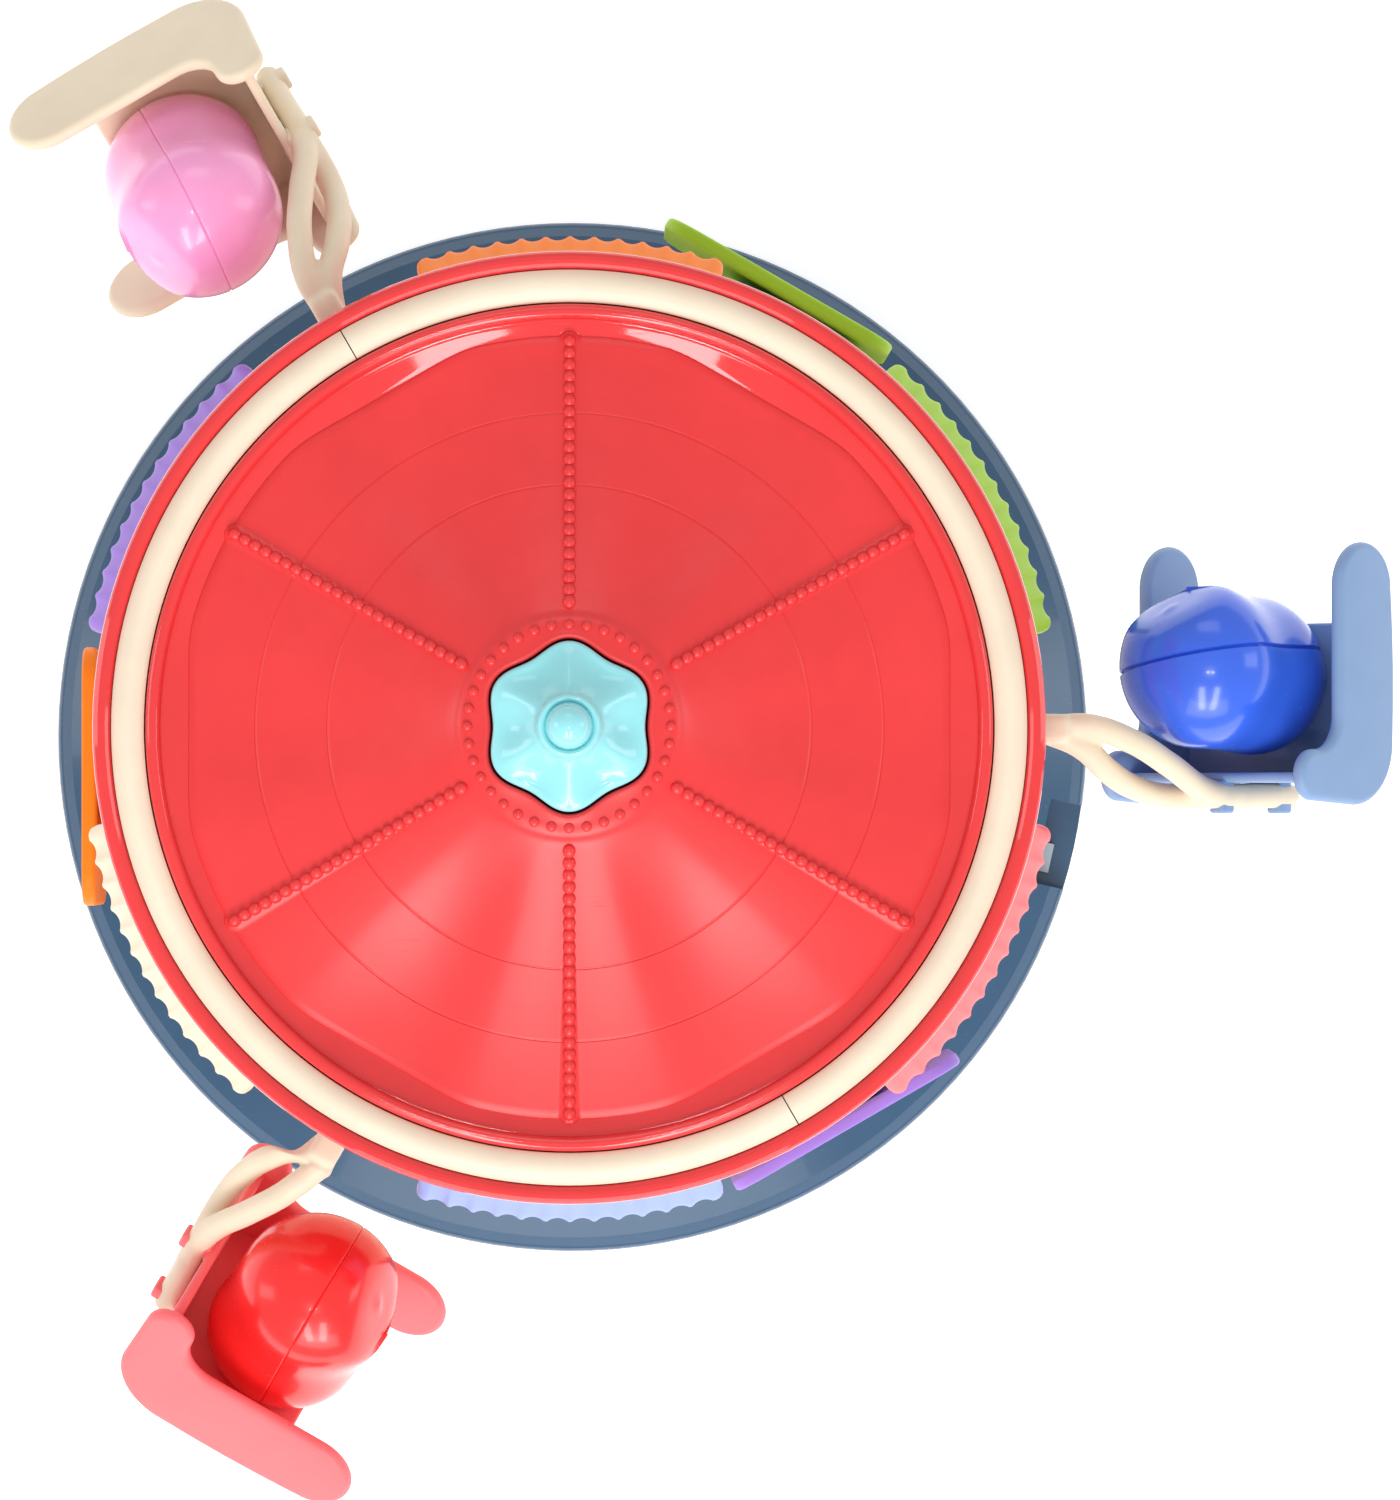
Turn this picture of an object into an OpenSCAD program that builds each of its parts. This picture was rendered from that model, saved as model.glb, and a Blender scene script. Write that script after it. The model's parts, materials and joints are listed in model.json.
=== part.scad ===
// Toddler carousel: a swing canopy that spins on a six-sided body and a round base,
// with three riders, three pull-out drawers, a flower button and a slide switch.
// Frame: millimetres, +Z up, origin on the spin axis at the level of the floor.

/* [Base] */
// Width of the base ledge outside the body's corners
base_ledge = 20; // [16:0.5:30]
// Height of the deck that the body stands on
deck_z = 24; // [24:0.5:32]
// Wall of the base shell
base_wall = 2.6; // [2:0.1:3.5]
// Height of the rubber foot pads
foot_h = 1.5; // [1:0.1:3]
// Thickness of the bottom cover
plate_t = 2.5; // [2:0.1:3]

/* [Body] */
// Width of the six-sided body across its flats
body_af = 176; // [150:1:212]
// Height of the body above the deck
body_h = 124; // [104:1:150]
// Wall of the body
body_wall = 2.6; // [2:0.1:3.5]
// Distance from the top of the body down to the motor plate
mech_h = 23.5; // [22:0.5:30]

/* [Drawers] */
// Outer width of a drawer box
drawer_w = 32.8; // [26:0.1:40]
// Outer height of a drawer box
drawer_h = 28; // [22:0.5:34]
// Outer length of a drawer box
drawer_l = 44; // [36:0.5:50]
// Wall of a drawer box
drawer_wall = 2; // [1.6:0.1:2.6]
// Length of a drawer front along the body
front_w = 58; // [46:0.5:70]
// Height of a drawer front
front_h = 50; // [40:0.5:60]
// Thickness of a drawer front
front_t = 4.6; // [3:0.1:6]
// How far the drawer sleeves stand out of the body
sleeve_out = 15; // [10:0.5:20]
// How far each drawer stands open at rest: green, orange, purple
drawer_open = [3.6, 1.6, 0];

/* [Canopy] */
// Diameter of the canopy at its rim
canopy_d = 203.6; // [170:0.1:244]
// Height of the canopy from its underside to its rim
canopy_h = 36.7; // [34:0.1:44]
// Height of the roof's collar above the rim
roof_rise = 16.5; // [12:0.5:24]
// Width of the red rim outside the pale ring
rim_w = 4; // [3:0.1:6]
// Width of the pale ring
ring_w = 7.5; // [6:0.1:9]
// Width of one awning, in degrees
awning_angle = 37; // [30:1:42]
// Reach of an awning outside the rim
awning_out = 4.2; // [3:0.1:6]

/* [Swings] */
// Distance from the canopy's rim to the middle of a chair's bottom edge
chair_out = 59.1; // [55:0.1:70]
// Height of that point below the underside of the canopy
chair_drop = 34.3; // [30:0.1:44]
// Outward bank of the chairs, in degrees
bank = 40; // [30:1:45]
// Outer width of a chair
chair_w = 55.5; // [50:0.5:66]
// Thickness of a chair's side panels
panel_t = 3.4; // [2.6:0.1:4.2]
// Radius of an arm's strands
strand_r = 2.75; // [2.3:0.05:3.3]
// Radius of a rider's head
head_r = 20; // [17:0.5:21]

/* [Button and spindle] */
// Diameter of the flower button across its petals
flower_d = 36.2; // [30:0.1:40]
// Travel of the flower button
press = 3; // [2:0.1:3.4]
// Diameter of the hub in its bush
hub_d = 16; // [13.4:0.1:19.2]
// Diameter of the button's rod
rod_d = 5; // [4:0.1:6]
// Teeth of the drive gear
gear_teeth = 60; // [48:12:60]
// Teeth of the motor's pinion
pinion_teeth = 12; // [12:1:14]

/* [Power switch] */
// Length of the switch's knob
knob_l = 6.8; // [5:0.1:8]
// Travel of the power switch
switch_travel = 8; // [6:0.5:10]

/* [Hidden] */
$fa = 4;
$fs = 0.6;

// Clearances
running = 0.05;   // radial gap of a shaft that turns or slides in its hole
moving = 0.3;     // gap between faces that pass each other
seat = 0.15;      // gap around a piece that is only seated
fixed = 0.04;     // gap of a piece that is pressed on or glued down
cut = 1;          // how far a cutter runs past the face that it cuts

// Colours
navy = [0.24, 0.35, 0.47];
red = [0.88, 0.23, 0.23];
cream = [0.95, 0.88, 0.78];
aqua = [0.56, 0.89, 0.91];
lime = [0.67, 0.80, 0.20];
orange = [1.0, 0.55, 0.13];
purple = [0.66, 0.50, 0.86];
coral = [1.0, 0.52, 0.54];
sky = [0.68, 0.77, 0.92];
slate = [0.54, 0.66, 0.81];
steel = [0.75, 0.75, 0.77];

// Directions around the axis
arm_angles = [0, 120, 240];
drawer_angles = [60, 180, 300];
awning_angles = [90, 30, -30, -90, -150, 150];
switch_angle = -12.5;
ring_split = 120;

// Body
flat_r = body_af / 2;
corner_r = flat_r / cos(30) - 1.6;
body_top = deck_z + body_h;
sleeve_r = flat_r + sleeve_out;

// Base
base_r = corner_r + base_ledge;
band_w = 3.4;
band_z = 14;
edge_z = 9.5;
deck_r = corner_r + 1.5;
plate_top = foot_h + plate_t;
pad_r = 6;
deck_under = deck_z - base_wall;
screw_r = corner_r - 4;
boss_r = 4;
pilot_r = 1.25;
shank_r = 1.5;
head_t = 1.8;
screw_head_r = 2.8;
body_boss_r = corner_r - 14;
body_boss_h = 14;
wire_hole_r = 24;

// Batteries and their bay
cell_d = 14.5;
cell_l = 50.5;
cell_gap = 1;
contact_w = 9;
contact_t = 1.2;
bay_l = cell_l + 2 * contact_t + 0.6;
bay_w = 3 * cell_d + 4 * cell_gap;
bay_y = -46;
bay_wall = 1.8;
cell_z = plate_top + 0.4 + cell_d / 2;
bay_top = cell_z + cell_d / 2 + 0.4;
door_lip = 3;
door_t = 1.6;
tongue_y = bay_y - bay_w / 2 - door_lip - 5;

// Speaker and circuit board
speaker_r = 20;
speaker_h = 9;
speaker_pos = [-52, 26];
board = [52, 34, 1.6];
board_pos = [12, 42];
post_h = 5;

// Power switch
notch_r = base_r - 8.2;
notch_l = 20;
notch_floor = 5.5;
knob_depth = 3;
knob_h = 5;
knob_end_gap = 3;
knob_y = -notch_l / 2 + knob_end_gap + knob_l / 2;
stem_w = 3;
stem_h = 2;
stem_l = 4.2;
stem_z = notch_floor + 3;
notch_wall = 2;

// Drawers
sleeve_wall = 2;
front_closed = sleeve_r + moving;
front_shift = 11.4;
box_shift = 4.3;
drawer_drop = 52;
front_top = body_top - drawer_drop;
box_z = front_top - front_h / 2 - drawer_h / 2;
sleeve_in_w = drawer_w + 2 * moving;
sleeve_in_h = drawer_h + 2 * moving;
sleeve_l = drawer_l + 3;
front_corner = 8;

// Hub, bush and gears
bush_flange_t = 2;
bush_wall = 2;
bush_r = hub_d / 2 + running + bush_wall;
bush_flange_r = bush_r + 3;
bush_under = body_top - 5.7;
hub_flange_t = 3;
hub_flange_r = 25;
hub_flange_z = body_top + bush_flange_t + moving;
tray_z = hub_flange_z + hub_flange_t;
gear_mod = 1;
gear_h = 8;
gear_top = bush_under - moving;
gear_z = gear_top - gear_h;
hub_end_r = hub_d / 2 - 2;
hub_end_z = gear_z - 2.1;
clip_t = 1;
clip_groove = 0.8;
gear_distance = gear_mod * (gear_teeth + pinion_teeth) / 2 + 0.15;
plate_z = body_top - mech_h - 2.5;
mech_plate_t = 2.5;
motor_r = 10.2;
motor_l = 25;
shaft_r = 1;
shaft_in = 6;
post_r = 44;
motor_plate_r = post_r + 5;
button_switch_h = 6.5;
rod_end = plate_z + mech_plate_t + button_switch_h + 0.2 + press;
hub_bolt_r = 19;
tooth_play = 0.26;

// Canopy
rim_r = canopy_d / 2;
rim_z = tray_z + canopy_h;
tray_t = 2.4;
wall_foot_r = rim_r - 10.8;
wall_head_r = rim_r - 4.3;
skirt_z = rim_z - 18;
ledge_z = rim_z - 6.5;
ring_ro = rim_r - rim_w - moving;
ring_ri = ring_ro - ring_w;
lip_ro = ring_ri - moving;
lip_w = 3.2;
lip_ri = lip_ro - lip_w;
ledge_ri = lip_ri - 0.5;
trough_z = rim_z - 4.5;
roof_corner_r = lip_ri - 2.5;
roof_flat_r = lip_ri - 5.1;
roof_edge_z = rim_z - 2.8;
roof_t = 2.2;
collar_r = 24.3;
collar_z = rim_z + roof_rise;
collar_foot_z = collar_z - 2;
recess_depth = 7.9;
recess_z = collar_z - recess_depth;
recess_gap = 0.45;
rib_w = 2.8;
rib_h = 1.1;
guide_r = 5;
roof_post_r = 60;
stem = 8.2;
stem_top = skirt_z - 2.2;
socket_l = 12;
socket_wall = 2.2;
ring_crown = 1.9;

// Swings
chair_r = rim_r + chair_out;
chair_z = tray_z - chair_drop;
panel_h = 20.5;
back_h = 33;
panel_back = -16.4;
panel_front = 41.1;
panel_step = -1;
back_wall_y = -11.5;
back_wall_t = 2.2;
back_wall_h = 25.5;
floor_z = 3;
floor_t = 2.4;
floor_front = 23.7;
bar_y = back_wall_y - strand_r;
tab = [5, 8.2, 2.4];
tab_gap = 0.5;
tab_heights = [5.5, 22];
rider_y = 14;
head_u = 32.5;
body_lobe_r = 14.5;
seat_z = floor_z + floor_t;
body_lobe_u = seat_z + 10.6;
rider_yaw = [11, -4.5, -1];

// Button
petals = 6;
petal_wave = 1;
button_under = recess_z + press + 1;
petal_z = collar_z + 1;
cone_r = 6.6;
cone_z = petal_z + 9.5;
dome_r = 5.2;
spring_r = 6.2;
spring_wire = 0.55;
spring_turns = 4;
button_cavity_r = 9;
button_cavity_z = petal_z - 2.5;

// ---------- helpers ----------

// Points of an arc, for outlines
function arc(c, r, a0, a1, n = 6) =
  [for (i = [0:n]) let(a = a0 + (a1 - a0) * i / n) [c[0] + r * cos(a), c[1] + r * sin(a)]];

// Six flats facing 0, 60, 120 ... degrees, with corners rounded at corner radius rc
module six_sided(flat, rc) {
  intersection() {
    rotate(30) circle(r = flat / cos(30), $fn = 6);
    circle(r = rc, $fn = 90);
  }
}

// Rounded rectangle centred on the origin
module rounded_rect(w, h, r) {
  square([w - 2 * r, h], center = true);
  square([w, h - 2 * r], center = true);
  for (x = [-1, 1], y = [-1, 1])
    translate([x * (w / 2 - r), y * (h / 2 - r)]) circle(r = r, $fn = 40);
}

// Place children at a radius and angle around the axis
module around(angle, r) {
  rotate([0, 0, angle]) translate([r, 0, 0]) children();
}

// Self-tapping screw that points up, with the outer face of its head at z = 0
module screw(l, head = head_t) {
  cylinder(r = screw_head_r, h = head, $fn = 30);
  translate([0, 0, head]) cylinder(r = pilot_r - 0.05, h = l, $fn = 24);
}

// Straight-flanked spur gear outline with play between the teeth
function gear_outline(n, m) =
  let(rp = n * m / 2, half = PI * m / 4 - tooth_play / 2, slope = tan(20))
  [for (i = [0:n - 1]) for (k = [0:3])
    let(up = (k == 1 || k == 2), side = k < 2 ? -1 : 1,
        r = up ? rp + m - 0.1 : rp - 1.25 * m,
        w = half - (up ? m - 0.1 : -1.25 * m) * slope,
        a = 360 * i / n + side * w / rp * 180 / PI)
    [r * cos(a), r * sin(a)]];

// Unit vector, and the ring of points around one station of a swept tube
function unit(v) = v / norm(v);
function ring(p, t, r, n) =
  let(side = unit(cross(t, [0.1, 0.2, 1])), up = cross(side, t))
  [for (k = [0:n - 1]) p + r * (cos(360 * k / n) * side + sin(360 * k / n) * up)];

// Closed tube swept along points
module tube(points, r, n = 12) {
  last = len(points) - 1;
  rings = [for (i = [0:last])
    let(a = points[max(i - 1, 0)], b = points[min(i + 1, last)])
    each ring(points[i], unit(b - a), r, n)];
  sides = [for (i = [0:last - 1], k = [0:n - 1])
    [i * n + k, i * n + (k + 1) % n, (i + 1) * n + (k + 1) % n, (i + 1) * n + k]];
  ends = [[for (k = [0:n - 1]) n - 1 - k], [for (k = [0:n - 1]) last * n + k]];
  polyhedron(rings, concat(sides, ends), convexity = 6);
}

// Points of a smooth curve through hand-set points, four to each span
function curve_point(p, i, t) =
  let(last = len(p) - 1, a = p[max(i - 1, 0)], b = p[i], c = p[i + 1],
      d = p[min(i + 2, last)])
  0.5 * ((2 * b) + (c - a) * t + (2 * a - 5 * b + 4 * c - d) * t * t
    + (3 * b - a - 3 * c + d) * t * t * t);
function smooth(p, n = 4) =
  concat([for (i = [0:len(p) - 2]) for (k = [0:n - 1]) curve_point(p, i, k / n)],
    [p[len(p) - 1]]);

// ---------- base ----------

function base_outline(inset) = let(r = base_r - inset, w = band_w) concat(
  [[0, foot_h], [r - 1.2, foot_h], [r, foot_h + 1.2], [r, edge_z]],
  arc([r - 3, edge_z], 3, 0, 55, 4),
  [[base_r - w, band_z - inset], [deck_r + 1.6, deck_z - 2.2 - inset],
   [deck_r + 0.5, deck_z - 0.5 - inset], [deck_r - 0.6, deck_z - inset],
   [0, deck_z - inset]]);

module base_solid() {
  rotate_extrude($fn = 120) polygon(base_outline(0));
}

module switch_block() {
  intersection() {
    base_solid();
    rotate([0, 0, switch_angle])
      translate([notch_r - notch_wall, -notch_l / 2 - notch_wall, foot_h])
        cube([base_r, notch_l + 2 * notch_wall, deck_z]);
  }
}

module base_shell() {
  color(navy) difference() {
    union() {
      difference() {
        base_solid();
        translate([0, 0, -cut]) rotate_extrude($fn = 120)
          polygon([[0, 0], [base_r - base_wall, 0], [base_r - base_wall, edge_z + cut],
            [base_r - band_w - 1.6, band_z - base_wall + cut],
            [deck_r + 0.2, deck_under - 2.2 + cut], [deck_r - 2, deck_under + cut],
            [0, deck_under + cut]]);
      }
      switch_block();
      for (a = [0:60:300]) around(a + 15, screw_r)
        translate([0, 0, plate_top + seat])
          cylinder(r = boss_r, h = deck_under - plate_top, $fn = 36);
    }
    // wiring hole, body screws and cover screws
    translate([0, 0, deck_under - cut]) cylinder(r = wire_hole_r, h = base_wall + 2 * cut);
    for (a = [0:60:300]) around(a + 30, body_boss_r)
      translate([0, 0, deck_under - cut]) cylinder(r = shank_r, h = 2 * cut + base_wall);
    for (a = [0:60:300]) around(a + 15, screw_r)
      translate([0, 0, foot_h]) cylinder(r = pilot_r, h = 14);
    // notch, and the slot that the knob's stem slides in
    rotate([0, 0, switch_angle]) translate([notch_r, -notch_l / 2, notch_floor])
      cube([base_r, notch_l, deck_z]);
    rotate([0, 0, switch_angle])
      translate([notch_r - notch_wall - cut, knob_y - stem_w / 2 - moving, stem_z - moving])
        cube([notch_wall + 2 * cut, stem_w + switch_travel + 2 * moving, stem_h + 2 * moving]);
  }
}

module bay_outline(grow) {
  translate([0, bay_y]) square([bay_l + 2 * grow, bay_w + 2 * grow], center = true);
}

// The door covers the bay and has a tongue for its screw
module door_outline(grow) {
  bay_outline(door_lip + grow);
  translate([0, tongue_y]) rounded_rect(14 + 2 * grow, 16 + 2 * grow, 4);
}

module base_plate() {
  color(navy) difference() {
    union() {
      translate([0, 0, foot_h])
        cylinder(r = base_r - base_wall - seat, h = plate_t, $fn = 120);
      translate([0, 0, foot_h]) linear_extrude(bay_top + bay_wall - foot_h)
        bay_outline(bay_wall);
      for (x = [-1, 1], y = [-1, 1])
        translate([board_pos[0] + x * (board[0] / 2 - 4),
          board_pos[1] + y * (board[1] / 2 - 4), foot_h])
          cylinder(r = 2.5, h = plate_t + post_h, $fn = 24);
      translate([speaker_pos[0], speaker_pos[1], foot_h]) difference() {
        cylinder(r = speaker_r + seat + 1.8, h = plate_t + 3, $fn = 60);
        translate([0, 0, plate_t]) cylinder(r = speaker_r + seat, h = 4, $fn = 60);
      }
      translate([0, tongue_y, foot_h]) cylinder(r = boss_r, h = plate_t + 7, $fn = 30);
    }
    // battery bay, open downwards, with a rebate for the door
    translate([0, 0, foot_h - cut]) linear_extrude(bay_top - foot_h + cut) bay_outline(0);
    translate([0, 0, foot_h - cut]) linear_extrude(cut + door_t + seat) door_outline(0);
    translate([0, tongue_y, foot_h - cut]) cylinder(r = pilot_r, h = plate_t + 7, $fn = 24);
    // sound holes
    translate([speaker_pos[0], speaker_pos[1], foot_h - cut]) for (k = [0:5], r = [5, 10])
      rotate([0, 0, 60 * k]) translate([r, 0, 0]) cylinder(r = 1.2, h = plate_t + 2 * cut, $fn = 24);
    for (a = [0:60:300]) around(a + 15, screw_r) {
      translate([0, 0, foot_h - cut]) cylinder(r = shank_r, h = plate_t + 2 * cut, $fn = 24);
      translate([0, 0, foot_h - cut]) cylinder(r = screw_head_r + seat, h = 1 + cut, $fn = 30);
    }
    rotate([0, 0, switch_angle])
      translate([notch_r - notch_wall - seat, -notch_l / 2 - notch_wall - seat, foot_h - cut])
        cube([base_r, notch_l + 2 * (notch_wall + seat), plate_t + 2 * cut]);
  }
}

module battery_door() {
  color(navy) difference() {
    translate([0, 0, foot_h]) linear_extrude(door_t) door_outline(-seat);
    translate([0, tongue_y, foot_h - cut]) cylinder(r = shank_r, h = door_t + 2 * cut, $fn = 24);
    for (k = [-2:2]) translate([-12, bay_y + bay_w / 2 - 6 + 1.5 * k, foot_h - cut])
      cube([24, 0.6, cut + 0.4]);
  }
}

module battery_door_screw() {
  color(steel) translate([0, tongue_y, foot_h - 1.2]) screw(door_t + 5, 1.2);
}

module batteries() {
  color("dimgray") for (k = [-1:1])
    translate([-cell_l / 2, bay_y + k * (cell_d + cell_gap), cell_z]) rotate([0, 90, 0]) {
      cylinder(d = cell_d, h = cell_l - 1.5, $fn = 40);
      cylinder(d = 5.5, h = cell_l, $fn = 30);
    }
}

module battery_contacts() {
  color(steel) for (k = [-1:1], side = [-1, 1])
    translate([side * (cell_l / 2 + contact_t / 2 + 0.1), bay_y + k * (cell_d + cell_gap), cell_z])
      cube([contact_t, contact_w, contact_w], center = true);
}

// Pads under the cover: one in the middle, and a ring near the edge
module foot_pads() {
  color("dimgray") {
    cylinder(r = pad_r, h = foot_h, $fn = 48);
    for (a = [0:60:300]) around(a + 45, base_r - 20) cylinder(r = pad_r, h = foot_h, $fn = 48);
  }
}

module base_screws() {
  color(steel) for (a = [0:60:300]) around(a + 15, screw_r)
    translate([0, 0, foot_h + 1 - head_t]) screw(10);
}

module speaker() {
  color("dimgray") translate([speaker_pos[0], speaker_pos[1], plate_top]) {
    cylinder(r = speaker_r, h = 2, $fn = 60);
    translate([0, 0, 2]) cylinder(r1 = speaker_r - 2, r2 = 9, h = speaker_h - 6, $fn = 60);
    translate([0, 0, speaker_h - 4]) cylinder(r = 9, h = 4, $fn = 40);
  }
}

module circuit_board() {
  color("darkgreen") translate([board_pos[0], board_pos[1], plate_top + post_h]) {
    translate([0, 0, board[2] / 2]) cube(board, center = true);
    translate([-12, 0, board[2]]) cylinder(r = 4, h = 4, $fn = 30);
    translate([6, -4, board[2]]) cube([9, 7, 2]);
    translate([6, 8, board[2]]) cube([5, 5, 3]);
  }
}

// ---------- power switch ----------

module at_switch() {
  rotate([0, 0, switch_angle]) translate([notch_r, 0, 0]) children();
}

module power_knob() {
  color("lightgray") at_switch() {
    translate([moving, knob_y - knob_l / 2, notch_floor + moving]) cube([knob_depth, knob_l, knob_h]);
    translate([-stem_l, knob_y - stem_w / 2, stem_z]) cube([stem_l + 1, stem_w, stem_h]);
  }
}

module slide_switch_case() {
  color("silver") at_switch() translate([-notch_wall, knob_y + switch_travel / 2, stem_z + stem_h / 2])
    difference() {
      translate([-7, -switch_travel / 2 - 5, -4]) cube([7 - seat, switch_travel + 10, 8]);
      translate([-3, -switch_travel / 2 - stem_w / 2 - moving, -stem_h / 2 - moving])
        cube([3 + cut, switch_travel + stem_w + 2 * moving, stem_h + 2 * moving]);
    }
}

// ---------- body ----------

module arch(w, h) {
  translate([-w / 2, 0]) square([w, h - w / 2]);
  translate([0, h - w / 2]) circle(d = w, $fn = 60);
}

module body_shell() {
  color(cream) difference() {
    union() {
      difference() {
        translate([0, 0, deck_z]) linear_extrude(body_h) six_sided(flat_r, corner_r);
        translate([0, 0, deck_z - cut]) linear_extrude(body_h - body_wall + cut)
          six_sided(flat_r - body_wall, corner_r - body_wall);
      }
      translate([0, 0, bush_under]) cylinder(r = bush_r + 4, h = body_top - bush_under, $fn = 60);
      for (a = [0:60:300]) around(a + 30, body_boss_r) {
        translate([0, 0, deck_z]) cylinder(r = boss_r + 0.5, h = body_boss_h, $fn = 36);
        translate([0, -1.2, deck_z]) cube([corner_r - body_boss_r - 1, 2.4, body_boss_h]);
      }
      for (a = arm_angles) around(a + 30, post_r)
        translate([0, 0, plate_z + mech_plate_t])
          cylinder(r = boss_r, h = mech_h - cut, $fn = 36);
    }
    translate([0, 0, bush_under - cut]) cylinder(r = bush_r + fixed, h = body_top, $fn = 60);
    for (a = [0:60:300]) around(a + 30, body_boss_r)
      translate([0, 0, deck_z - cut]) cylinder(r = pilot_r, h = body_boss_h, $fn = 24);
    for (a = arm_angles) around(a + 30, post_r)
      translate([0, 0, plate_z]) cylinder(r = pilot_r, h = 14, $fn = 24);
    // drawer bays, and an arched relief on the other three sides
    for (a = drawer_angles) rotate([0, 0, a])
      translate([flat_r - body_wall - cut, box_shift - sleeve_in_w / 2 - sleeve_wall - seat,
        box_z - moving - sleeve_wall - seat])
        cube([body_wall + 2 * cut, sleeve_in_w + 2 * (sleeve_wall + seat),
          sleeve_in_h + 2 * (sleeve_wall + seat)]);
    for (a = arm_angles) rotate([0, 0, a])
      translate([flat_r - 1.2, 0, deck_z + 14]) rotate([90, 0, 90])
        linear_extrude(2 * cut) arch(64, body_h - 28);
  }
}

module body_screws() {
  color(steel) for (a = [0:60:300]) around(a + 30, body_boss_r)
    translate([0, 0, deck_under - head_t]) screw(10);
}

module spindle_bush() {
  color("white") difference() {
    union() {
      translate([0, 0, bush_under]) cylinder(r = bush_r, h = body_top - bush_under, $fn = 60);
      translate([0, 0, body_top]) cylinder(r = bush_flange_r, h = bush_flange_t, $fn = 60);
    }
    translate([0, 0, bush_under - cut]) cylinder(d = hub_d + 2 * running, h = 20, $fn = 60);
  }
}

module motor_plate() {
  color("white") difference() {
    translate([0, 0, plate_z]) linear_extrude(mech_plate_t) {
      for (a = arm_angles) rotate(a + 30) {
        translate([0, -7]) square([post_r, 14]);
        translate([post_r, 0]) circle(r = 7, $fn = 40);
      }
      circle(r = 16, $fn = 60);
      translate([gear_distance, 0]) circle(r = motor_r + 3, $fn = 60);
      translate([0, -8]) square([gear_distance, 16]);
    }
    for (a = arm_angles) around(a + 30, post_r)
      translate([0, 0, plate_z - cut]) cylinder(r = shank_r, h = mech_plate_t + 2 * cut, $fn = 24);
    translate([gear_distance, 0, plate_z - cut]) cylinder(r = 3.2, h = 5, $fn = 30);
  }
}

module motor_plate_screws() {
  color(steel) for (a = arm_angles) around(a + 30, post_r)
    translate([0, 0, plate_z - head_t]) screw(8);
}

module button_switch() {
  color("dimgray") translate([0, 0, plate_z + mech_plate_t]) {
    translate([-5, -5, 0]) cube([10, 10, 1.6]);
    translate([-3, -3, 1.6]) cube([6, 6, 3.4]);
    translate([0, 0, 5]) cylinder(r = 1.7, h = button_switch_h - 5, $fn = 24);
  }
}

module motor() {
  color("silver") translate([gear_distance, 0, plate_z]) difference() {
    union() {
      translate([0, 0, -motor_l]) cylinder(r = motor_r, h = motor_l, $fn = 60);
      cylinder(r = 3, h = 1.8, $fn = 30);
    }
    translate([0, 0, -shaft_in]) cylinder(r = shaft_r + running, h = 12, $fn = 24);
  }
}

module motor_shaft() {
  color(steel) translate([gear_distance, 0, plate_z - shaft_in + moving])
    cylinder(r = shaft_r, h = gear_top - plate_z + shaft_in - 0.8, $fn = 24);
}

module motor_pinion() {
  color("white") translate([gear_distance, 0, gear_z]) rotate([0, 0, 180 / pinion_teeth])
    difference() {
      linear_extrude(gear_h) polygon(gear_outline(pinion_teeth, gear_mod));
      translate([0, 0, -cut]) cylinder(r = shaft_r + fixed, h = gear_h + 2 * cut, $fn = 24);
    }
}

// ---------- drawers ----------

module drawer_sleeve(k) {
  color(cream) rotate([0, 0, drawer_angles[k]]) difference() {
    translate([sleeve_r - sleeve_l, box_shift - sleeve_in_w / 2 - sleeve_wall, box_z - moving - sleeve_wall])
      cube([sleeve_l, sleeve_in_w + 2 * sleeve_wall, sleeve_in_h + 2 * sleeve_wall]);
    translate([sleeve_r - sleeve_l + sleeve_wall, box_shift - sleeve_in_w / 2, box_z - moving])
      cube([sleeve_l, sleeve_in_w, sleeve_in_h]);
  }
}

module drawer_box(k, shade) {
  color(shade) rotate([0, 0, drawer_angles[k]])
    translate([front_closed + drawer_open[k] - drawer_l, box_shift - drawer_w / 2, box_z])
      difference() {
        cube([drawer_l, drawer_w, drawer_h]);
        translate([drawer_wall, drawer_wall, drawer_wall])
          cube([drawer_l - 2 * drawer_wall, drawer_w - 2 * drawer_wall, drawer_h]);
      }
}

module drawer_front(k, shade) {
  color(shade) rotate([0, 0, drawer_angles[k]])
    translate([front_closed + drawer_open[k], front_shift, front_top - front_h / 2])
      rotate([90, 0, 90]) linear_extrude(front_t) rounded_rect(front_w, front_h, front_corner);
}

module drawer_sleeve_green() drawer_sleeve(0);
module drawer_sleeve_orange() drawer_sleeve(1);
module drawer_sleeve_purple() drawer_sleeve(2);
module drawer_box_green() drawer_box(0, lime);
module drawer_box_orange() drawer_box(1, orange);
module drawer_box_purple() drawer_box(2, purple);
module drawer_front_green() drawer_front(0, lime);
module drawer_front_orange() drawer_front(1, orange);
module drawer_front_purple() drawer_front(2, purple);

// ---------- hub and canopy ----------

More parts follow.
